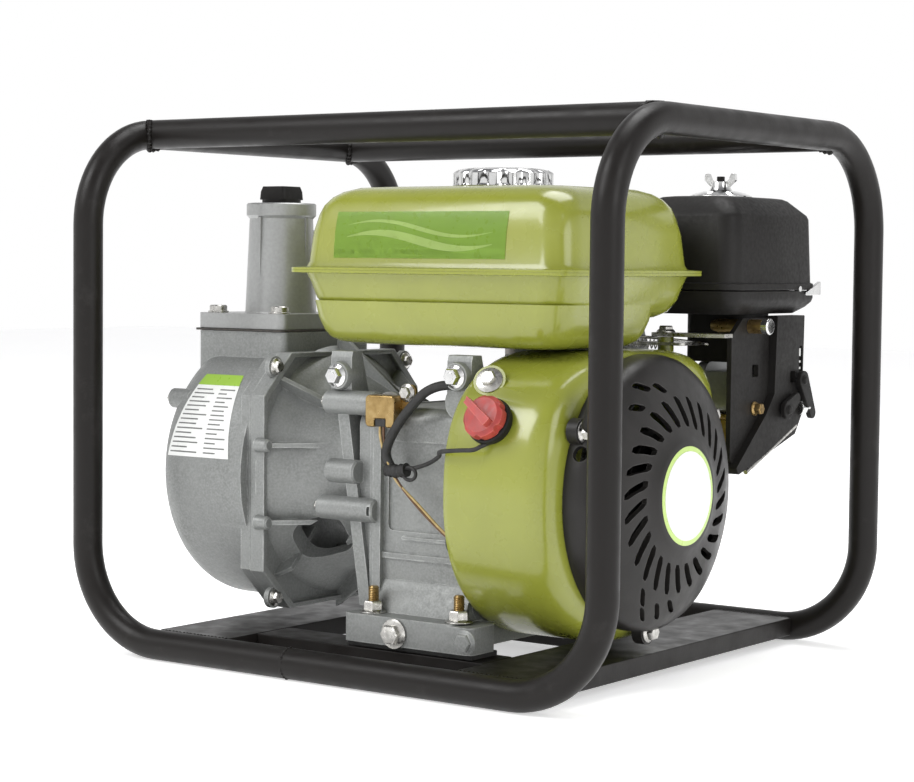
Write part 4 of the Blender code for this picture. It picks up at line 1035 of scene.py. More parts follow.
def make_side_cover():
    """Output-side cover with the long bolt bosses that stand out along its front edge."""
    low, high = span("side_cover")
    plate_x = (high.x - 16.0, high.x)
    plate = prism(rounded((low.y, low.z), (high.y, high.z), 14.0, 6), "X", *plate_x)
    flange = prism(rounded((low.y - 2.5, low.z), (high.y + 2.0, high.z + 1.5), 15.0, 6), "X", high.x - 4.5, high.x)
    boss = disc("X", CRANK, 42.0, low.x + 0.3, plate_x[0] + 2, 96)
    neck = turned([(54.0, plate_x[0] + 2), (54.0, plate_x[0]), (46.0, plate_x[0] - 7), (30.0, plate_x[0] - 7),
                   (30.0, plate_x[0] + 2)], "X", CRANK, 96)
    front = low.y - 4.0
    bosses = [
        cover_boss(192.0, 8.8, plate_x[0] - 26, -5.0, front),
        cover_boss(142.0, 8.8, plate_x[0] - 24, -21.0, front),
        cover_boss(115.0, 8.8, plate_x[0] - 32, -4.0, front),
    ]
    ridge = prism([(-42.0, high.z - 1), (-32.0, high.z - 1), (-10.0, low.z + 1), (-20.0, low.z + 1)], "Y",
                  low.y - 4.0, low.y + 30.0)
    rear = [cover_boss(z, 8.0, plate_x[0] - 4, 6.0, high.y + 1.0) for z in (178.0, 120.0, 66.0)]
    hole = disc("X", CRANK, 12.4, low.x - 10, high.x + 10, 48)
    dark_end = block((-8.0, front - 9.5, 112.0), (-5.5, front - 4.0, 118.5))
    piece("side_cover_casting", plate, "cast_paint", replaces=["side_cover"],
          add=[flange, boss, neck, ridge, *bosses, *rear], cut=[hole, dark_end], bevel=1.0)
    places = [(plate_x[0] - 26, front, 192.0), (plate_x[0] - 32, front, 115.0)]
    bolts("side_cover_bolts", places, (-1, 0, 0), 8.0, 4.5, 6.4)
    places = [(plate_x[0] - 4, high.y + 1.0, z) for z in (178.0, 120.0, 66.0)]
    bolts("side_cover_rear_bolts", places, (-1, 0, 0), 8.0, 4.5, 6.4)
    kept("shaft_seal", "black_rubber", 0.3)


def make_tank_pillars():
    """Cast pillars under the tank's front edge, with the bolts through them."""
    for node, bolt_z in (("left_tank_bracket", 22.0), ("right_tank_bracket", 24.0)):
        low, high = span(node)
        x0, x1 = (low.x, low.x + 19.0) if node.startswith("left") else (low.x, high.x)
        outline = [(high.y, low.z), (high.y - 12, low.z + 24), (high.y - 12, high.z), (low.y + 2, high.z),
                   (low.y, high.z - 6), (low.y, low.z + 12), (low.y + 5, low.z)]
        pillar = prism(rounded_polygon(outline, 3.0, 4), "X", x0, x1)
        extra = []
        if node.startswith("left"):
            extra.append(block((x0 + 4, low.y + 4, low.z), (high.x, high.y, low.z + 9)))
        middle = (x0 + x1) / 2
        extra.append(turned([(0.0, low.y - 3), (9.5, low.y - 3), (10.5, low.y), (10.5, low.y + 14), (0.0, low.y + 14)],
                            "Y", (middle, low.z + bolt_z), 40))
        piece(f"{node}_casting", pillar, "cast_paint", replaces=[node], add=extra, bevel=1.2)
        head, dish = hollow_head(11.0, 7.0, 8.2)
        at = (middle, low.y - 3.0, low.z + bolt_z)
        piece(f"{node}_bolt", aimed(head, at, (0, -1, 0)), "bright_plate", cut=[aimed(dish, at, (0, -1, 0))],
              bevel=0.3)


def make_head():
    """Cylinder head, rocker cover and the spark plug with its cap and lead."""
    kept("cylinder_head", "cast_paint", 0.8)
    s0, s1 = 182.3, 206.7
    x0, x1 = CYLINDER_X - 38.0, CYLINDER_X + 38.0
    rings = []
    for s, inset in ((s0, 0.0), (s0 + 3, 0.0), (s0 + 3.2, 4.0), (s1 - 7, 5.5), (s1 - 2, 8.5), (s1, 13.0)):
        rings.append([Vector((a, s, b)) for a, b in rounded((x0 + inset, inset - 30), (x1 - inset, 30 - inset),
                                                            max(10.0 - inset * 0.3, 5.0))])
    piece("rocker_cover_pressing", along_bore(solid(rings)), "zinc_steel", replaces=["rocker_cover"],
          bevel=0.8)
    heads = []
    for a in (x0 + 7, x1 - 7):
        for b in (-23.0, 23.0):
            heads.append(along_bore(placed(hex_head(8.0, 5.0, 6.0),
                                           Matrix.Translation((a, s0 + 3, b)) @ Matrix.Rotation(-pi / 2, 4, "X"))))
    piece("rocker_cover_bolts", merged(*heads), "zinc_steel", bevel=0.25)

    at = (CYLINDER_X, 164.0)
    cap = along_bore(turned([(0.0, -50.0), (8.6, -50.0), (9.0, -56.0), (7.6, -60.0), (7.6, -66.0), (9.0, -70.0),
                             (9.0, -80.0), (7.0, -84.0), (0.0, -84.0)], "Z", at, 48))
    piece("spark_plug_cap", cap, "black_rubber", replaces=["spark_plug"])
    hexagon = along_bore(placed(hex_head(18.0, 6.0, 0.0), Matrix.Translation((*at, -43.6)) @ Matrix.Rotation(pi, 4, "X")))
    insulator = along_bore(turned([(0.0, -48.0), (5.0, -48.0), (5.0, -52.0), (0.0, -52.0)], "Z", at, 32))
    piece("spark_plug_body", merged(hexagon, insulator), "zinc_steel", bevel=0.3)


def make_muffler():
    """Pressed silencer with a rolled seam, its flange, stub and slotted guard."""
    low, high = span("muffler")
    drum = (Vector((-88.0, 84.0, 256.0)), Vector((60.0, 172.0, 340.0)))
    rings = []
    d0, d1 = drum
    middle = (d0.y + d1.y) / 2
    for y, inset in ((d0.y, 7.0), (d0.y + 3, 2.5), (d0.y + 8, 0.8), (middle - 3, 1.0), (middle - 2.9, -0.0),
                     (middle + 2.9, -0.0), (middle + 3, 1.0), (d1.y - 8, 0.8), (d1.y - 3, 2.5), (d1.y, 7.0)):
        rings.append([Vector((a, y, b)) for a, b in rounded((d0.x + inset, d0.z + inset), (d1.x - inset, d1.z - inset),
                                                            22.0)])
    pipe = turned([(0.0, low.z + 8), (13.0, low.z + 8), (13.0, d0.z + 12), (0.0, d0.z + 12)], "Z", (-44.0, 118.0), 48)
    flange = prism(rounded((-58.0, 104.0), (CYLINDER_X - 46.5, 132.0), 4.0), "Z", low.z, low.z + 24.0)
    tail = turned([(6.5, low.x), (9.0, low.x), (9.0, d0.x + 8), (6.5, d0.x + 8)], "X", (128.0, 300.0), 48)
    beads = [prism(rounded((-72.0 + 42.0 * k, 272.0), (-50.0 + 42.0 * k, 324.0), 10.0), "Y", d0.y - 1.5, d1.y + 1.5)
             for k in range(3)]
    piece("muffler_shell", solid(rings), "muffler_steel", replaces=["muffler"],
          add=[pipe, flange, tail, *beads], bevel=1.0)

    low, high = span("muffler_guard")
    slots = []
    for column in range(3):
        for row in range(5):
            x, z = -66.0 + 42.0 * column, 271.0 + 12.0 * row
            slots.append(prism(rounded((x, z), (x + 26.0, z + 6.0), 2.9, 5), "Y", low.y - 5, high.y + 5))
    panel = prism(rounded((low.x, low.z), (high.x, high.z), 8.0), "Y", low.y, high.y)
    piece("muffler_guard_panel", panel, "black_plastic", replaces=["muffler_guard"], cut=slots,
          bevel=0.6)
    posts = [disc("Y", (x, z), 4.0, d1.y - 8, high.y + 1.5, 24)
             for x in (low.x + 8, high.x - 8) for z in (low.z + 8, high.z - 8)]
    piece("muffler_guard_screws", merged(*posts), "zinc_steel", bevel=0.5)


# ---------------------------------------------------------------- fuel tank

TANK_CORNER_R = 22.0
TANK_SIDE = (
    (2.6, 5.5), (6.0, 7.0), (28.0, 9.2), (40.0, 12.0), (47.0, 14.5), (53.0, 19.0), (57.0, 24.5), (60.0, 33.0),
    (61.0, 48.0),
)


def tank_inset(rise):
    """How far the tank's side stands in from its flange at a height over the seam."""
    for (low_rise, low_inset), (high_rise, high_inset) in zip(TANK_SIDE, TANK_SIDE[1:]):
        if rise <= high_rise:
            return low_inset + (high_inset - low_inset) * (rise - low_rise) / (high_rise - low_rise)
    return TANK_SIDE[-1][1]


def tank_ring(low, high, z, inset, radius):
    return [Vector((a, b, z)) for a, b in rounded((low.x + inset, low.y + inset), (high.x - inset, high.y - inset),
                                                  radius, 10)]


def make_tank():
    """Two pressed shells that meet at a seam flange, with a soft shoulder round the top."""
    low, high = span("tank_upper")
    seam = low.z
    top = span("fuel_cap")[0].z - 1.0
    flange_in = 7.0
    levels = [(seam + 0.2, 0.0), (seam + 1.8, 0.0), *((seam + rise, inset) for rise, inset in TANK_SIDE)]
    rings = [tank_ring(low, high, z, inset, 14.0 if inset < 1 else TANK_CORNER_R) for z, inset in levels]
    cap = Vector((pivot_of("fuel_cap_turn").x, pivot_of("fuel_cap_turn").y))
    neck = turned([(27.4, top - 4), (40.0, top - 4), (34.0, top + 0.6), (27.0, top + 1.2), (27.0, top + 8), (24.0, top + 8),
                   (24.0, top - 4)], "Z", cap, 72)
    mouth = disc("Z", cap, 24.0, top - 12, top + 12, 64)
    made = piece("tank_upper_shell", solid(rings), "engine_green_paint", replaces=["tank_upper"],
                 add=[neck], cut=[mouth], bevel=1.0, angle=40.0)

    lower, _ = span("tank_lower")
    rear = [(seam + 0.1, 0.0), (seam - 1.8, 0.0), (seam - 2.4, flange_in - 1.5), (seam - 6, flange_in),
            (seam - 20, flange_in + 4.0), (seam - 28, flange_in + 9.0), (seam - 32, flange_in + 16.0),
            (seam - 33, flange_in + 26.0)]
    rings = [tank_ring(low, high, z, inset, 14.0 if inset < 1 else TANK_CORNER_R) for z, inset in rear]
    deep_low, deep_high = Vector((-72.0, -121.0)), Vector((150.0, 12.0))
    bottom = lower.z
    deep = []
    for z, inset in ((seam - 22, -1.0), (seam - 34, 1.0), (bottom + 10, 4.0), (bottom + 5, 7.0), (bottom + 1.5, 12.0),
                     (bottom, 20.0)):
        outline = rounded((deep_low.x + inset, deep_low.y + inset), (deep_high.x - inset, deep_high.y - inset), 20.0, 10)
        deep.append([Vector((a, b, z)) for a, b in outline])
    piece("tank_lower_shell", solid(rings), "engine_green_paint", replaces=["tank_lower"],
          add=[solid(deep)], bevel=1.0, angle=40.0)
    return made


def make_tank_badge():
    """A plain light-green panel on the tank's front, with a generic wave in place of a mark."""
    low, high = span("tank_upper")
    seam = low.z
    x0, x1 = low.x + 41.0, high.x - 57.0
    z0, z1 = seam + 9.0, seam + 42.0

    def film(edges, lift, rows=10):
        """A thin film on the tank's front: edges holds (x, lowest z, highest z) from left to right."""
        bm = bmesh.new()
        columns = []
        for x, bottom, ceiling in edges:
            heights = [bottom + (ceiling - bottom) * k / rows for k in range(rows + 1)]
            columns.append([bm.verts.new((x, low.y + tank_inset(z - seam) - lift, z)) for z in heights])
        for left, right in zip(columns, columns[1:]):
            for k in range(rows):
                bm.faces.new((left[k], right[k], right[k + 1], left[k + 1]))
        bmesh.ops.solidify(bm, geom=bm.faces, thickness=0.2)
        bmesh.ops.recalc_face_normals(bm, faces=bm.faces)
        return bm

    steps = 40
    places = [x0 + (x1 - x0) * k / steps for k in range(steps + 1)]
    piece("tank_badge", film([(x, z0, z1) for x in places], 0.35), "label_green")
    waves = []
    for offset, thick in ((-1.0, 6.0), (7.5, 3.0)):
        edges = []
        for k, x in enumerate(places[3:-3]):
            middle = (z0 + z1) / 2 - 3.0 + offset + 5.5 * sin((x - x0) / (x1 - x0) * 2 * pi)
            half = thick / 2 * sin(pi * (k + 1) / (steps - 4))
            edges.append((x, middle - half, middle + half))
        waves.append(film(edges, 0.55, 2))
    piece("tank_badge_wave", merged(*waves), "label_light_green")


def make_fuel_cap():
    """Plated cap with a scalloped skirt and a domed top."""
    low, high = span("fuel_cap")
    centre = (pivot_of("fuel_cap_turn").x, pivot_of("fuel_cap_turn").y)
    radius = (high.x - low.x) / 2 - 0.2
    sides, lobes = 192, 16
    rings = []
    for z, grow, depth in ((low.z, -1.5, 0.0), (low.z + 1.0, 0.0, 0.0), (low.z + 2.5, 0.0, 0.7), (high.z - 5.0, 0.0, 0.7),
                           (high.z - 3.4, -1.4, 0.5), (high.z - 2.2, -4.0, 0.0), (high.z - 1.2, -10.0, 0.0),
                           (high.z - 0.6, -20.0, 0.0), (high.z - 0.3, -30.0, 0.0)):
        loop = []
        for k in range(sides):
            angle = 2 * pi * k / sides
            flute = abs(sin(angle * lobes / 2)) ** 3
            r = radius + grow - depth * 3.2 * flute
            loop.append(Vector((centre[0] + r * cos(angle), centre[1] + r * sin(angle), z)))
        rings.append(loop)
    hollow = disc("Z", centre, 27.6, low.z - 2, high.z - 5.5, 64)
    piece("fuel_cap_plated", solid(rings), "bright_plate", "cap", ["fuel_cap"], cut=[hollow])


# ---------------------------------------------------------------- air cleaner and carburettor

def make_air_cleaner():
    """Ribbed black cover on its tray, held by a domed washer and a wing nut."""
    low, high = span("air_cleaner_cover")
    nut = (pivot_of("wing_nut_spin").x, pivot_of("wing_nut_spin").y)
    rings = []
    for z, inset, radius in ((low.z, 0.0, 14.0), (low.z + 5.0, 0.0, 14.0), (low.z + 5.4, 1.6, 14.0),
                             (high.z - 16.0, 3.2, 14.0), (high.z - 13.0, 4.4, 14.0), (high.z - 2.2, 15.0, 15.0),
                             (high.z - 0.6, 18.0, 16.0), (high.z, 23.0, 16.0)):
        rings.append([Vector((a, b, z)) for a, b in rounded((low.x + inset, low.y + inset),
                                                            (high.x - inset, high.y - inset), radius, 8)])
    hollow = prism(rounded((low.x + 6, low.y + 6), (high.x - 6, high.y - 6), 12.0), "Z", low.z - 5, high.z - 22.0)
    stud_hole = disc("Z", nut, 3.6, high.z - 30, high.z + 5, 24)
    piece("air_cleaner_lid", solid(rings), "black_plastic", replaces=["air_cleaner_cover"],
          cut=[hollow, stud_hole], bevel=1.2)

    base_low, base_high = span("air_cleaner_base")
    tray = []
    for z, inset in ((257.0, 12.0), (262.0, 5.0), (266.0, 1.5), (269.0, 0.6), (274.4, 0.6)):
        tray.append([Vector((a, b, z)) for a, b in rounded((low.x + inset, low.y + inset),
                                                           (high.x - inset, high.y - inset), 12.0)])
    duct = prism(rounded((112.0, 108.0), (166.0, 152.0), 10.0), "Z", base_low.z, 260.0)
    stud = disc("Z", nut, 3.0, 270.0, base_high.z, 24)
    piece("air_cleaner_tray", solid(tray), "black_plastic", replaces=["air_cleaner_base"],
          add=[duct, stud], bevel=0.8)
    kept("filter_element", "filter_paper", 1.0)

    clip_y = high.y - 10.0
    outline = [(clip_y - 20, low.z - 4.0), (high.y - 0.5, low.z - 4.0), (high.y - 0.5, low.z + 7.0)]
    clip = prism(rounded_polygon(outline, 1.0, 3), "X", high.x - 1.0, high.x + 1.6)
    pin = disc("X", (clip_y - 24.0, low.z + 1.0), 2.2, high.x - 3, high.x + 1.5, 24)
    piece("air_cleaner_clip", merged(clip, pin), "bright_plate", bevel=0.3)

    nut_low, nut_high = span("cover_wing_nut")
    base = nut_low.z
    dome = [(24.0, base - 0.1), (24.0, base + 0.9), (19.0, base + 3.0), (12.0, base + 4.6), (8.0, base + 5.2),
            (3.4, base + 5.2), (3.4, base - 0.1)]
    piece("cover_washer", turned(dome, "Z", nut, 72), "bright_plate", "wing_nut", bevel=0.3)
    barrel = turned([(3.4, base + 5.3), (8.6, base + 5.3), (7.2, base + 8), (6.4, nut_high.z - 7), (3.4, nut_high.z - 7)],
                    "Z", nut, 48)
    wings = []
    for side in (-1, 1):
        outline = [(side * 4.0, base + 7), (side * 7.5, base + 7.5), (side * 13.5, nut_high.z - 6),
                   (side * 13.0, nut_high.z - 1.0), (side * 9.5, nut_high.z - 0.6), (side * 7.4, nut_high.z - 6),
                   (side * 4.0, base + 12.0)]
        outline = outline if side < 0 else outline[::-1]
        curve = rounded_polygon(outline, 1.1, 4)
        wings.append(prism([(nut[0] + a, b) for a, b in curve], "Y", nut[1] - 1.5, nut[1] + 1.5))
    piece("wing_nut_body", barrel, "bright_plate", "wing_nut", ["cover_wing_nut"], add=wings, bevel=0.7)


def make_carburettor():
    low, high = span("carburettor")
    centre = ((low.y + high.y) / 2, 198.0)
    kept("intake_elbow", "black_plastic", 1.0)
    body = prism(rounded((low.y, low.z), (high.y, high.z), 9.0), "X", low.x, high.x)
    collars = [disc("X", centre, 19.5, high.x - 7, high.x, 64), disc("X", centre, 20.0, low.x, low.x + 6, 64)]
    throat = disc("X", centre, 10.0, low.x - 5, high.x + 5, 48)
    waist = [block((low.x + 8, low.y - 3, high.z - 7), (high.x - 9, high.y + 3, high.z + 3))]
    piece("carburettor_body", body, "machined_aluminium", replaces=["carburettor"],
          add=collars, cut=[throat, *waist], bevel=1.0)
    bowl_low, bowl_high = span("float_bowl")
    axis = ((bowl_low.x + bowl_high.x) / 2, (bowl_low.y + bowl_high.y) / 2)
    bowl = [(0.0, bowl_high.z), (20.0, bowl_high.z), (20.0, bowl_high.z - 3.0), (18.2, bowl_high.z - 3.4),
            (18.2, bowl_low.z + 8), (16.0, bowl_low.z + 4.5), (9.0, bowl_low.z + 3.5), (5.5, bowl_low.z + 3.5),
            (5.5, bowl_low.z), (0.0, bowl_low.z)]
    piece("float_bowl_cup", turned(bowl, "Z", axis, 72), "yellow_chromate", replaces=["float_bowl"], bevel=0.5)
    screw_at = (axis[0] + 13.0, axis[1] - 14.0)
    jets = [turned([(0.0, 205.0), (4.6, 205.0), (4.6, 213.0), (3.0, 214.0), (3.0, 219.5), (0.0, 219.5)], "Z",
                   screw_at, 32)]
    piece("carburettor_jet", merged(*jets), "yellow_chromate", bevel=0.3)
    start, end = 140.0, 190.0
    rod_centre = (104.0, 248.0)
    solenoid = turned([(0.0, start), (3.5, start), (5.4, start + 6), (5.4, end - 6), (0.0, end - 6)], "X", rod_centre, 48)
    piece("governor_cylinder", solenoid, "yellow_chromate", bevel=0.5)
    cap = turned([(0.0, end - 6), (6.2, end - 6), (6.2, end - 1), (5.2, end), (0.0, end)], "X", rod_centre, 48)
    piece("governor_cylinder_cap", cap, "bright_plate", bevel=0.4)


def make_controls():
    """Black control panel with its ribs, lever slots, stop screw and drip edge."""
    low, high = span("control_panel")
    outline = [(135.0, high.z), (high.y, high.z), (high.y, 176.0), (165.0, 171.0), (78.0, low.z), (low.y, 144.0),
               (124.0, 178.0), (135.0, 196.0)]
    panel = prism(rounded_polygon(outline[::-1], [3.0, 6.0, 2.0, 3.0, 8.0, 4.0, 2.0, 2.0], 5), "X", low.x, high.x - 1.5)
    ribs = [block((low.x + 2, high.y - 3.0, 242.0 - 5.0 * k), (high.x - 2.5, high.y + 0.0, 245.0 - 5.0 * k))
            for k in range(5)]
    window = prism(rounded((158.0, 204.0), (166.0, 213.0), 1.5, 3), "X", low.x - 5, high.x + 5)
    pocket = prism(rounded((172.0, 196.0), (177.5, 232.0), 2.0, 3), "X", high.x - 3.5, high.x + 5)
    piece("control_panel_moulding", panel, "black_plastic", replaces=["control_panel"],
          add=ribs, cut=[window, pocket], bevel=0.9)
    # A black sheet behind the panel's open notch, standing in for the carburettor in shade: painted shade.
    shade_sheet = prism(rounded_polygon([(136.0, 256.0), (136.0, 166.0), (80.0, 141.0), (74.0, 150.0), (74.0, 242.0),
                                    (92.0, 256.0)], 3.0, 4), "X", low.x + 0.5, low.x + 4.5)
    gap = prism(rounded((108.0, 210.0), (118.0, 219.0), 1.5, 3), "X", low.x - 5, low.x + 10)
    piece("carburettor_shade_sheet", shade_sheet, "black_plastic", cut=[gap], bevel=0.8)
    drain_screw = aimed(hex_head(8.0, 7.0, 5.5), (low.x + 4.5, 112.0, 186.0), (1, 0, 0))
    piece("shield_screw", drain_screw, "yellow_chromate", bevel=0.3)
    marks = [block((high.x - 3.4, 173.2, z), (high.x - 2.4, 176.3, z + tall))
             for z, tall in ((224.0, 6.0), (219.0, 1.6), (214.0, 1.6), (199.0, 8.0))]
    piece("lever_marks", merged(*marks), "label_white")
    strip = [Vector((high.x - 3.0, 170.0, 170.5)), Vector((high.x - 3.0, 120.0, 150.5)), Vector((high.x - 3.0, 92.0, 139.5))]
    piece("panel_drip_edge", sweep(strip, 1.8, 16), "zinc_steel")
    screw = aimed(hex_head(8.0, 10.0, 5.5), (high.x - 2.0, 173.0, 184.0), (0.3, 1, 0))
    piece("panel_stop_screw", screw, "bright_plate", bevel=0.3)
    for node, body, tip in (("choke_lever", "choke", (186.0, 180.0)), ("fuel_valve_lever", "fuel_valve", (160.0, 192.0))):
        make_small_lever(node, body, tip)


def make_small_lever(node, body, tip):
    low, high = span(node)
    pivot = pivot_of(f"{body}_swing")
    root, end = Vector((pivot.y, pivot.z)), Vector(tip)
    heading = atan2(end.y - root.y, end.x - root.x)
    outline = []
    for centre, radius, start in ((end, 4.5, -pi / 2), (root, 7.0, pi / 2)):
        for step in range(13):
            angle = heading + start + pi * step / 12
            outline.append((centre.x + radius * cos(angle), centre.y + radius * sin(angle)))
    arm = prism(outline, "X", low.x, high.x)
    screw = turned([(0.0, high.x - 0.5), (3.4, high.x - 0.5), (3.4, high.x + 1.2), (2.4, high.x + 2.0), (0.0, high.x + 2.0)],
                   "X", root, 32)
    piece(f"{node}_arm", arm, "black_plastic", body, [node], add=[screw], bevel=0.8)


def make_governor():
    """Throttle plate, its rods and the return spring above the blower housing."""
    kept("throttle_lever", "zinc_steel", 0.5)
    pivot = pivot_of("throttle_swing")
    top = span("throttle_lever")[1].z
    nut = aimed(hex_head(10.0, 5.0, 7.0), (pivot.x, pivot.y, top), (0, 0, 1))
    piece("throttle_nut", nut, "zinc_steel", "throttle", bevel=0.3)
    bracket = prism(rounded((pivot.x - 16, pivot.y - 20), (pivot.x + 26, pivot.y + 16), 4.0), "Z",
                    span("throttle_lever")[0].z - 6.0, span("throttle_lever")[0].z - 4.0)
    piece("throttle_bracket", bracket, "zinc_steel", bevel=0.4)
    rod = spline([(70.0, 60.0, 238.0), (90.0, 72.0, 239.0), (118.0, 96.0, 236.0), (138.0, 112.0, 232.0),
                  (146.0, 118.0, 224.0)])
    piece("governor_rod", sweep(rod, 1.2, 12), "zinc_steel")
    start, end, turns = Vector((74.0, 66.0, 236.0)), Vector((112.0, 92.0, 232.0)), 16
    along = (end - start).normalized()
    side = along.cross(Vector((0, 0, 1))).normalized()
    up = side.cross(along)
    coil = []
    for k in range(turns * 12 + 1):
        angle = 2 * pi * k / 12
        coil.append(start + (end - start) * k / (turns * 12) + 3.2 * (side * cos(angle) + up * sin(angle)))
    piece("governor_spring", sweep(coil, 0.55, 8), "zinc_steel")


# ---------------------------------------------------------------- blower housing and starter

HOUSING_POWERS = (("right", "top", 5.0), ("left", "top", 2.6), ("left", "bottom", 2.2), ("right", "bottom", 2.4))


def housing_outline(half, inset=0.0, steps=22):
    """The fan scroll's outline, as four quarters of superellipses round the crankshaft."""
    points = []
    for quarter, (side, end, power) in enumerate(HOUSING_POWERS):
        for step in range(steps):
            angle = (quarter + step / steps) * pi / 2
            c, s = cos(angle), sin(angle)
            reach = (abs(c) ** power + abs(s) ** power) ** (-1.0 / power)
            points.append((CRANK[0] + (half[side] - inset) * reach * c, CRANK[1] + (half[end] - inset) * reach * s))
    return points


def make_housing():
    """Pressed blower housing: a rolled back flange, a swept side and a rounded front edge."""
    low, high = span("blower_housing")
    half = {"left": CRANK[0] - low.y, "right": 121.0, "top": 98.5, "bottom": CRANK[1] - low.z}
    stations = [(low.x, 5.0), (low.x + 0.8, 2.0), (low.x + 3.0, 0.6), (low.x + 7.0, 0.0), (high.x - 20.0, 0.0),
                (high.x - 12.0, 1.4), (high.x - 6.0, 4.6), (high.x - 2.2, 9.6), (high.x - 0.4, 15.0), (high.x, 20.0)]
    rings = [[Vector((x, a, b)) for a, b in housing_outline(half, inset)] for x, inset in stations]
    shell = solid(rings)
    hollow = prism(housing_outline(half, 8.0), "X", low.x + 3.0, high.x - 8.0)
    front = disc("X", CRANK, 80.0, high.x - 20, high.x + 5, 96)
    back = disc("X", CRANK, 55.0, low.x - 5, low.x + 8, 72)
    duct = block((low.x - 5, 20.0, 120.0), (low.x + 6, 60.0, 205.0))
    pivot = pivot_of("throttle_swing")
    post = disc("Z", (pivot.x, pivot.y), 6.0, 200.0, span("throttle_lever")[0].z - 0.4, 40)
    ear_at, ear_facing = (low.x + 21.0, *crank_place(121.0, 139.0)), (0.25, -0.86, 0.5)
    ears = [aimed(disc("Z", (0.0, 0.0), 11.5, -22.0, 0.0, 48), ear_at, ear_facing)]
    piece("blower_housing_shell", shell, "engine_green_paint", replaces=["blower_housing"],
          add=[post, *ears], cut=[hollow, front, back, duct], bevel=0.7, angle=38.0)
    bolts("housing_bolt", [ear_at], ear_facing, 10.0, 5.5, 9.5)


def curved_slot(inner, outer, width, degrees, sweep_degrees, x0, x1, steps=6):
    """A round-ended slot from radius inner to outer, which leans as it goes out."""
    left, right = [], []
    for k in range(steps + 1):
        share = k / steps
        radius = inner + (outer - inner) * share
        angle = radians(degrees + sweep_degrees * share)
        size = width / 2 * (1.0 if 0 < k < steps else 0.55)
        y, z = CRANK[0] + radius * cos(angle), CRANK[1] + radius * sin(angle)
        left.append((y + size * sin(angle), z - size * cos(angle)))
        right.append((y - size * sin(angle), z + size * cos(angle)))
    return prism(left + right[::-1], "X", x0, x1)


SLOT_COUNT = 26
LOBE_SLOTS = (
    (101.0, 73.0, 82.0), (113.0, 80.0, 90.0), (124.0, 74.0, 84.0), (237.0, 73.0, 82.0), (245.0, 83.0, 90.0),
    (255.0, 76.0, 87.0), (266.0, 73.0, 83.0),
)
EAR_ANGLES = (151.0, 271.0, 31.0)


def make_starter():
    """Pressed starter cover: a dished face with leaning slots round a plain disc."""
    low, high = span("starter_cover")
    back, face = low.x, high.x
    radius = 97.0
    profile = [(93.0, back), (radius, back), (radius, back + 10), (95.8, back + 15), (91.5, back + 21),
               (83.0, back + 26), (66.0, back + 32.2), (52.0, back + 35.4), (43.0, back + 37.2), (39.0, face - 1.6),
               (36.0, face - 0.6), (0.0, face - 0.6), (0.0, face - 5), (33.0, face - 5), (42.0, back + 33.4),
               (64.0, back + 28.6), (86.0, back + 19.6), (93.0, back + 11)]
    ears = [disc("X", crank_place(radius + 1.0, degrees), 9.0, back + 0.5, back + 8.7, 40) for degrees in EAR_ANGLES]
    slots = [curved_slot(48.0, 69.0, 6.6, 360.0 / SLOT_COUNT * k, 11.0, back + 20, face + 5)
             for k in range(SLOT_COUNT)]
    for degrees, inner, outer in LOBE_SLOTS:
        slots.append(curved_slot(inner, outer, 6.6, degrees, 7.0, back + 14, face + 5))
    for degrees in (168.0, 186.0):
        slots.append(side_slot(degrees, back + 12, face + 5))
    rope = aimed(disc("Z", (0.0, 0.0), 5.5, 60.0, 130.0, 24), (back + 9.7, *CRANK), PULL)
    piece("starter_cover_pressing", turned(profile, "X", CRANK, 144), "starter_black",
          replaces=["starter_cover"], add=ears, cut=[*slots, rope], bevel=0.6, angle=38.0)
    piece("starter_post", disc("X", CRANK, 8.0, back + 3, face - 5.2, 40), "zinc_steel", bevel=0.5)
    places = [(back + 8.7, *crank_place(radius + 1.0, degrees)) for degrees in EAR_ANGLES]
    bolts("starter_bolts", places, (1, 0, 0), 10.0, 6.5, 7.5)

    rim = turned([(0.0, face - 1.0), (34.5, face - 1.0), (34.5, face - 0.5), (33.5, face - 0.3), (0.0, face - 0.3)],
                 "X", CRANK, 96)
    piece("starter_disc_rim", rim, "label_light_green")
    plate = turned([(0.0, face - 0.4), (31.0, face - 0.4), (31.0, face), (0.0, face)], "X", CRANK, 96)
    piece("starter_disc", plate, "label_white")
    kept("recoil_reel", "black_plastic", 0.6)
    make_handle()


def side_slot(degrees, x0, x1):
    """One of the two upright slots at the cover's outer side."""
    outline = rounded((-2.2, -12.0), (2.2, 12.0), 2.1, 5)
    bm = prism([(a + 90.5, b) for a, b in outline], "X", x0, x1)
    return round_crank(bm, degrees)


def make_handle():
    """T-shaped pull handle with finger scallops and its rope ferrule."""
    corner = PULL.to_track_quat("Z", "Y").to_matrix().to_4x4()
    grip_rings = []
    for x in range(-17, 18):
        waist = 1.4 * (1 - (x / 17.0) ** 2)
        end = max(0.0, abs(x) - 12.5)
        half = 8.8 - waist - end * end * 0.16
        grip_rings.append([Vector((x, half * cos(2 * pi * k / 32), 8.0 + (half * 0.86) * sin(2 * pi * k / 32)))
                           for k in range(32)])
    grip = solid(grip_rings)
    stem = turned([(0.0, -8.0), (4.2, -8.0), (5.2, -6.0), (5.6, 2.0), (0.0, 6.0)], "Z", (0.0, 0.0), 32)
    origin = Vector((188.0, -126.0, 196.0))
    place = Matrix.Translation(origin) @ corner @ Matrix.Rotation(pi / 2, 4, "Z")
    piece("starter_handle_grip", placed(grip, place), "black_plastic", "handle", ["starter_handle"],
          add=[placed(stem, place)], bevel=0.5)


# ---------------------------------------------------------------- switch, low-oil unit and wiring

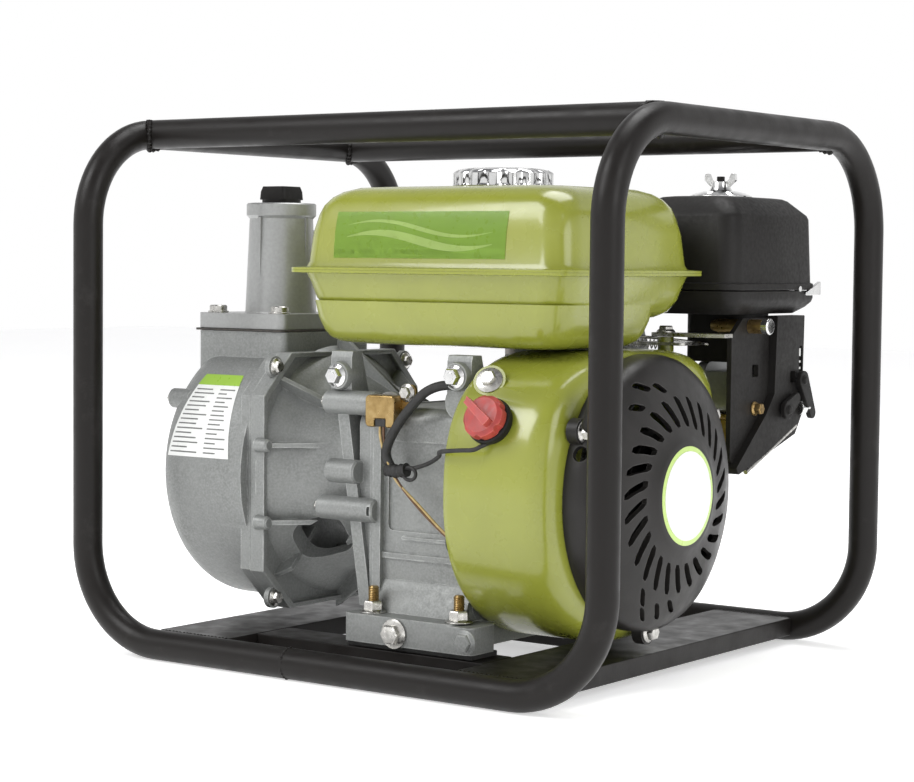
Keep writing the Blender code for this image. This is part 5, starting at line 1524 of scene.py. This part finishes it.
def make_switch():
    """Red rotary stop switch with its pointer, on a black base."""
    turn = SWITCH_NORMAL.to_track_quat("Z", "Y").to_matrix().to_4x4()
    place = Matrix.Translation(SWITCH_AT) @ turn
    base = turned([(0.0, -4.0), (15.0, -4.0), (16.5, 0.0), (16.5, 3.0), (15.5, 4.0), (0.0, 4.0)], "Z", (0.0, 0.0), 64)
    piece("switch_base_ring", placed(base, place), "black_plastic", replaces=["switch_base"], bevel=0.6)
    knob = turned([(0.0, 4.3), (15.0, 4.3), (15.6, 6.0), (15.2, 10.5), (12.5, 13.2), (0.0, 14.0)], "Z", (0.0, 0.0), 72)
    pointer = rounded_polygon([(-13.0, -4.2), (17.5, -3.2), (17.5, 3.2), (-13.0, 4.2)], 2.0, 5)
    bar = placed(prism(pointer, "Z", 8.0, 18.4), Matrix.Rotation(radians(145.0), 4, "Z"))
    scallops = [disc("Z", (19.2 * cos(a), 19.2 * sin(a)), 5.0, 3.0, 20.0, 24)
                for a in (pi / 6 + k * pi / 3 for k in range(6)) if abs(sin(a)) > 0.4]
    piece("switch_knob_red", placed(knob, place), "red_plastic", "switch", ["switch_knob"],
          add=[placed(bar, place)], cut=[placed(bm, place) for bm in scallops], bevel=0.8)


def make_low_oil_unit():
    """Yellow-plated sensor box with a dark socket below and its fixing ear."""
    low, high = span("oil_alert_unit")
    box = prism(rounded((low.x - 2, low.z - 3), (high.x, high.z + 2), 3.5, 5), "Y", low.y, high.y)
    socket = block((low.x + 6, low.y - 1, low.z - 6), (high.x - 8, low.y + 7, low.z + 3))
    piece("low_oil_box", box, "yellow_chromate", replaces=["oil_alert_unit"], cut=[socket], bevel=1.6)
    liner = block((low.x + 6.6, low.y + 1.2, low.z - 2.4), (high.x - 8.6, low.y + 6.4, low.z + 3.5))
    piece("low_oil_socket", liner, "black_rubber", bevel=0.4)
    ear = prism(rounded((high.x - 2, high.z - 9), (high.x + 12, high.z + 10), 5.0, 5), "Y", high.y - 3.0, high.y)
    piece("low_oil_ear", ear, "yellow_chromate", bevel=0.4)
    bolts("low_oil_bolt", [(high.x + 5.0, high.y - 3.0, high.z + 4.0)], (0, -1, 0), 8.0, 5.0, 6.6)


CABLE_ROUTE = [
    (46.0, -129.0, 204.0), (34.0, -130.0, 194.0), (20.0, -130.5, 178.0), (10.0, -130.0, 160.0),
    (14.0, -130.0, 149.0), (30.0, -131.0, 148.0), (50.0, -135.0, 153.0), (68.0, -146.0, 160.0),
    (82.0, -163.5, 165.0), (98.0, -165.5, 167.0), (110.0, -165.0, 168.0),
]


def make_wiring():
    """The leads between the coil, the low-oil unit and the stop switch."""
    lead = [*CABLE_ROUTE[4:], (115.0, -162.5, 170.5), (119.0, -159.0, 173.0)]
    piece("stop_lead", sweep(spline(lead), 1.5, 16), "black_rubber", replaces=["ignition_cable"])
    sleeve = [(74.0, -112.0, 204.0), (60.0, -124.0, 208.0), *CABLE_ROUTE[:5], (17.0, -130.0, 146.0)]
    piece("lead_sleeve", sweep(spline(sleeve), 3.4, 20), "black_rubber")
    tape = [(12.0, -131.0, 147.0), (20.0, -132.0, 146.0), (30.0, -132.0, 147.5)]
    piece("lead_joint", sweep(spline(tape), lambda k: 4.6 + 0.5 * sin(k * 1.7), 20), "black_rubber")
    loop = [Vector((33.0 + 5.5 * cos(a), -133.0, 145.0 + 4.5 * sin(a))) for a in (2 * pi * k / 28 for k in range(28))]
    piece("lead_loop", sweep(loop, 1.3, 12, closed=True), "black_rubber")
    yellow = [(3.0, -128.0, 179.0), (4.5, -130.0, 170.0), (9.0, -131.0, 158.0), (16.0, -133.0, 148.0),
              (22.0, -132.0, 138.0), (38.0, -130.0, 124.0), (56.0, -128.0, 108.0), (70.0, -127.0, 98.0)]
    piece("yellow_lead", sweep(spline(yellow), 0.95, 12), "yellow_wire")
    brown = [(6.0, -128.0, 179.0), (7.5, -129.5, 168.0), (12.0, -130.5, 156.0), (17.0, -132.0, 146.0),
             (26.0, -131.5, 134.0), (42.0, -129.5, 118.0), (60.0, -127.0, 103.0), (72.0, -126.0, 96.0)]
    piece("brown_lead", sweep(spline(brown), 0.95, 12), "brown_wire")
    grommet = turned([(4.0, -131.0), (10.0, -131.0), (11.0, -127.0), (8.0, -122.0), (4.0, -122.0)], "Y", (73.0, 99.0), 40)
    piece("wiring_grommet", grommet, "black_rubber", bevel=0.8)


def make_hidden_parts():
    """Inner pieces that show only through openings."""
    for node, look in (
        ("impeller", "cast_paint"), ("flywheel", "cast_paint"), ("starter_cup", "zinc_steel"),
        ("output_shaft", "zinc_steel"), ("flywheel_shaft", "zinc_steel"), ("camshaft", "zinc_steel"),
        ("piston", "machined_aluminium"), ("connecting_rod", "machined_aluminium"),
    ):
        kept(node, look, 0.4)


make_roll_frame()
make_bracket()
make_casing()
make_data_plate()
make_inlet()
make_outlet()
make_crankcase()
make_base_fasteners()
make_side_cover()
make_tank_pillars()
make_head()
make_muffler()
make_tank()
make_tank_badge()
make_fuel_cap()
make_air_cleaner()
make_carburettor()
make_controls()
make_governor()
make_housing()
make_starter()
make_switch()
make_low_oil_unit()
make_wiring()
make_hidden_parts()


# ---------------------------------------------------------------- studio

def make_floor():
    bm = bmesh.new()
    bmesh.ops.create_grid(bm, x_segments=1, y_segments=1, size=6000.0)
    floor = new_object("floor", bm)
    look = Look("floor_white", 0.75, Emission_Color=(1.0, 1.0, 1.0, 1.0), Emission_Strength=0.50)
    look.colour(look.ramp(look.noise(400.0, 2.0), (0.3, (0.88, 0.88, 0.88)), (0.7, (0.92, 0.92, 0.92))))
    floor.data.materials.append(LOOKS["floor_white"])


def make_light(name, place, aim, size, power):
    light = bpy.data.lights.new(name, "AREA")
    light.shape = "RECTANGLE"
    light.size, light.size_y = size
    light.energy = power
    lamp = bpy.data.objects.new(name, light)
    lamp.location = place
    lamp.rotation_euler = (Vector(aim) - Vector(place)).to_track_quat("-Z", "Y").to_euler()
    bpy.context.scene.collection.objects.link(lamp)


def make_world():
    world = bpy.data.worlds.new("studio")
    bpy.context.scene.world = world
    world.use_nodes = True
    tree = world.node_tree
    background = tree.nodes["Background"]
    place = tree.nodes.new("ShaderNodeTexCoord")
    height = tree.nodes.new("ShaderNodeSeparateXYZ")
    ramp = tree.nodes.new("ShaderNodeValToRGB")
    ramp.color_ramp.elements[0].position = 0.30
    ramp.color_ramp.elements[0].color = (1.0, 1.0, 1.0, 1.0)
    ramp.color_ramp.elements[1].position = 0.75
    ramp.color_ramp.elements[1].color = (0.26, 0.26, 0.27, 1.0)
    tree.links.new(place.outputs["Generated"], height.inputs["Vector"])
    tree.links.new(height.outputs["Z"], ramp.inputs["Fac"])
    tree.links.new(ramp.outputs["Color"], background.inputs["Color"])
    background.inputs["Strength"].default_value = 1.0


def make_camera():
    """The viewpoint: in front and to the starter's side, a little above the middle of the frame."""
    yaw, pitch, roll = radians(35.789), radians(3.207), radians(0.567)
    forward = Vector((-sin(yaw) * cos(pitch), cos(yaw) * cos(pitch), -sin(pitch)))
    right = Vector((cos(yaw), sin(yaw), 0.0))
    up = right.cross(forward)
    right, up = right * cos(roll) + up * sin(roll), up * cos(roll) - right * sin(roll)
    camera_data = bpy.data.cameras.new("camera")
    camera_data.lens = 90.4
    camera_data.sensor_width = 36.0
    camera_data.clip_start = 0.05
    camera = bpy.data.objects.new("camera", camera_data)
    place = Vector((0.9991, -1.4169, 0.2936))
    columns = Matrix((right, up, -forward)).transposed().to_4x4()
    camera.matrix_world = Matrix.Translation(place) @ columns
    bpy.context.scene.collection.objects.link(camera)
    bpy.context.scene.camera = camera


make_floor()
make_world()
make_light("key", (-1.2, -2.2, 2.4), (0.0, 0.0, 0.2), (1.6, 1.6), 58.0)
make_light("side", (2.4, -0.6, 1.4), (0.1, 0.0, 0.2), (1.2, 1.8), 18.0)
make_light("top", (0.0, 0.6, 2.4), (0.0, 0.0, 0.2), (1.4, 1.4), 30.0)
make_camera()
bpy.context.scene.view_settings.view_transform = "Standard"
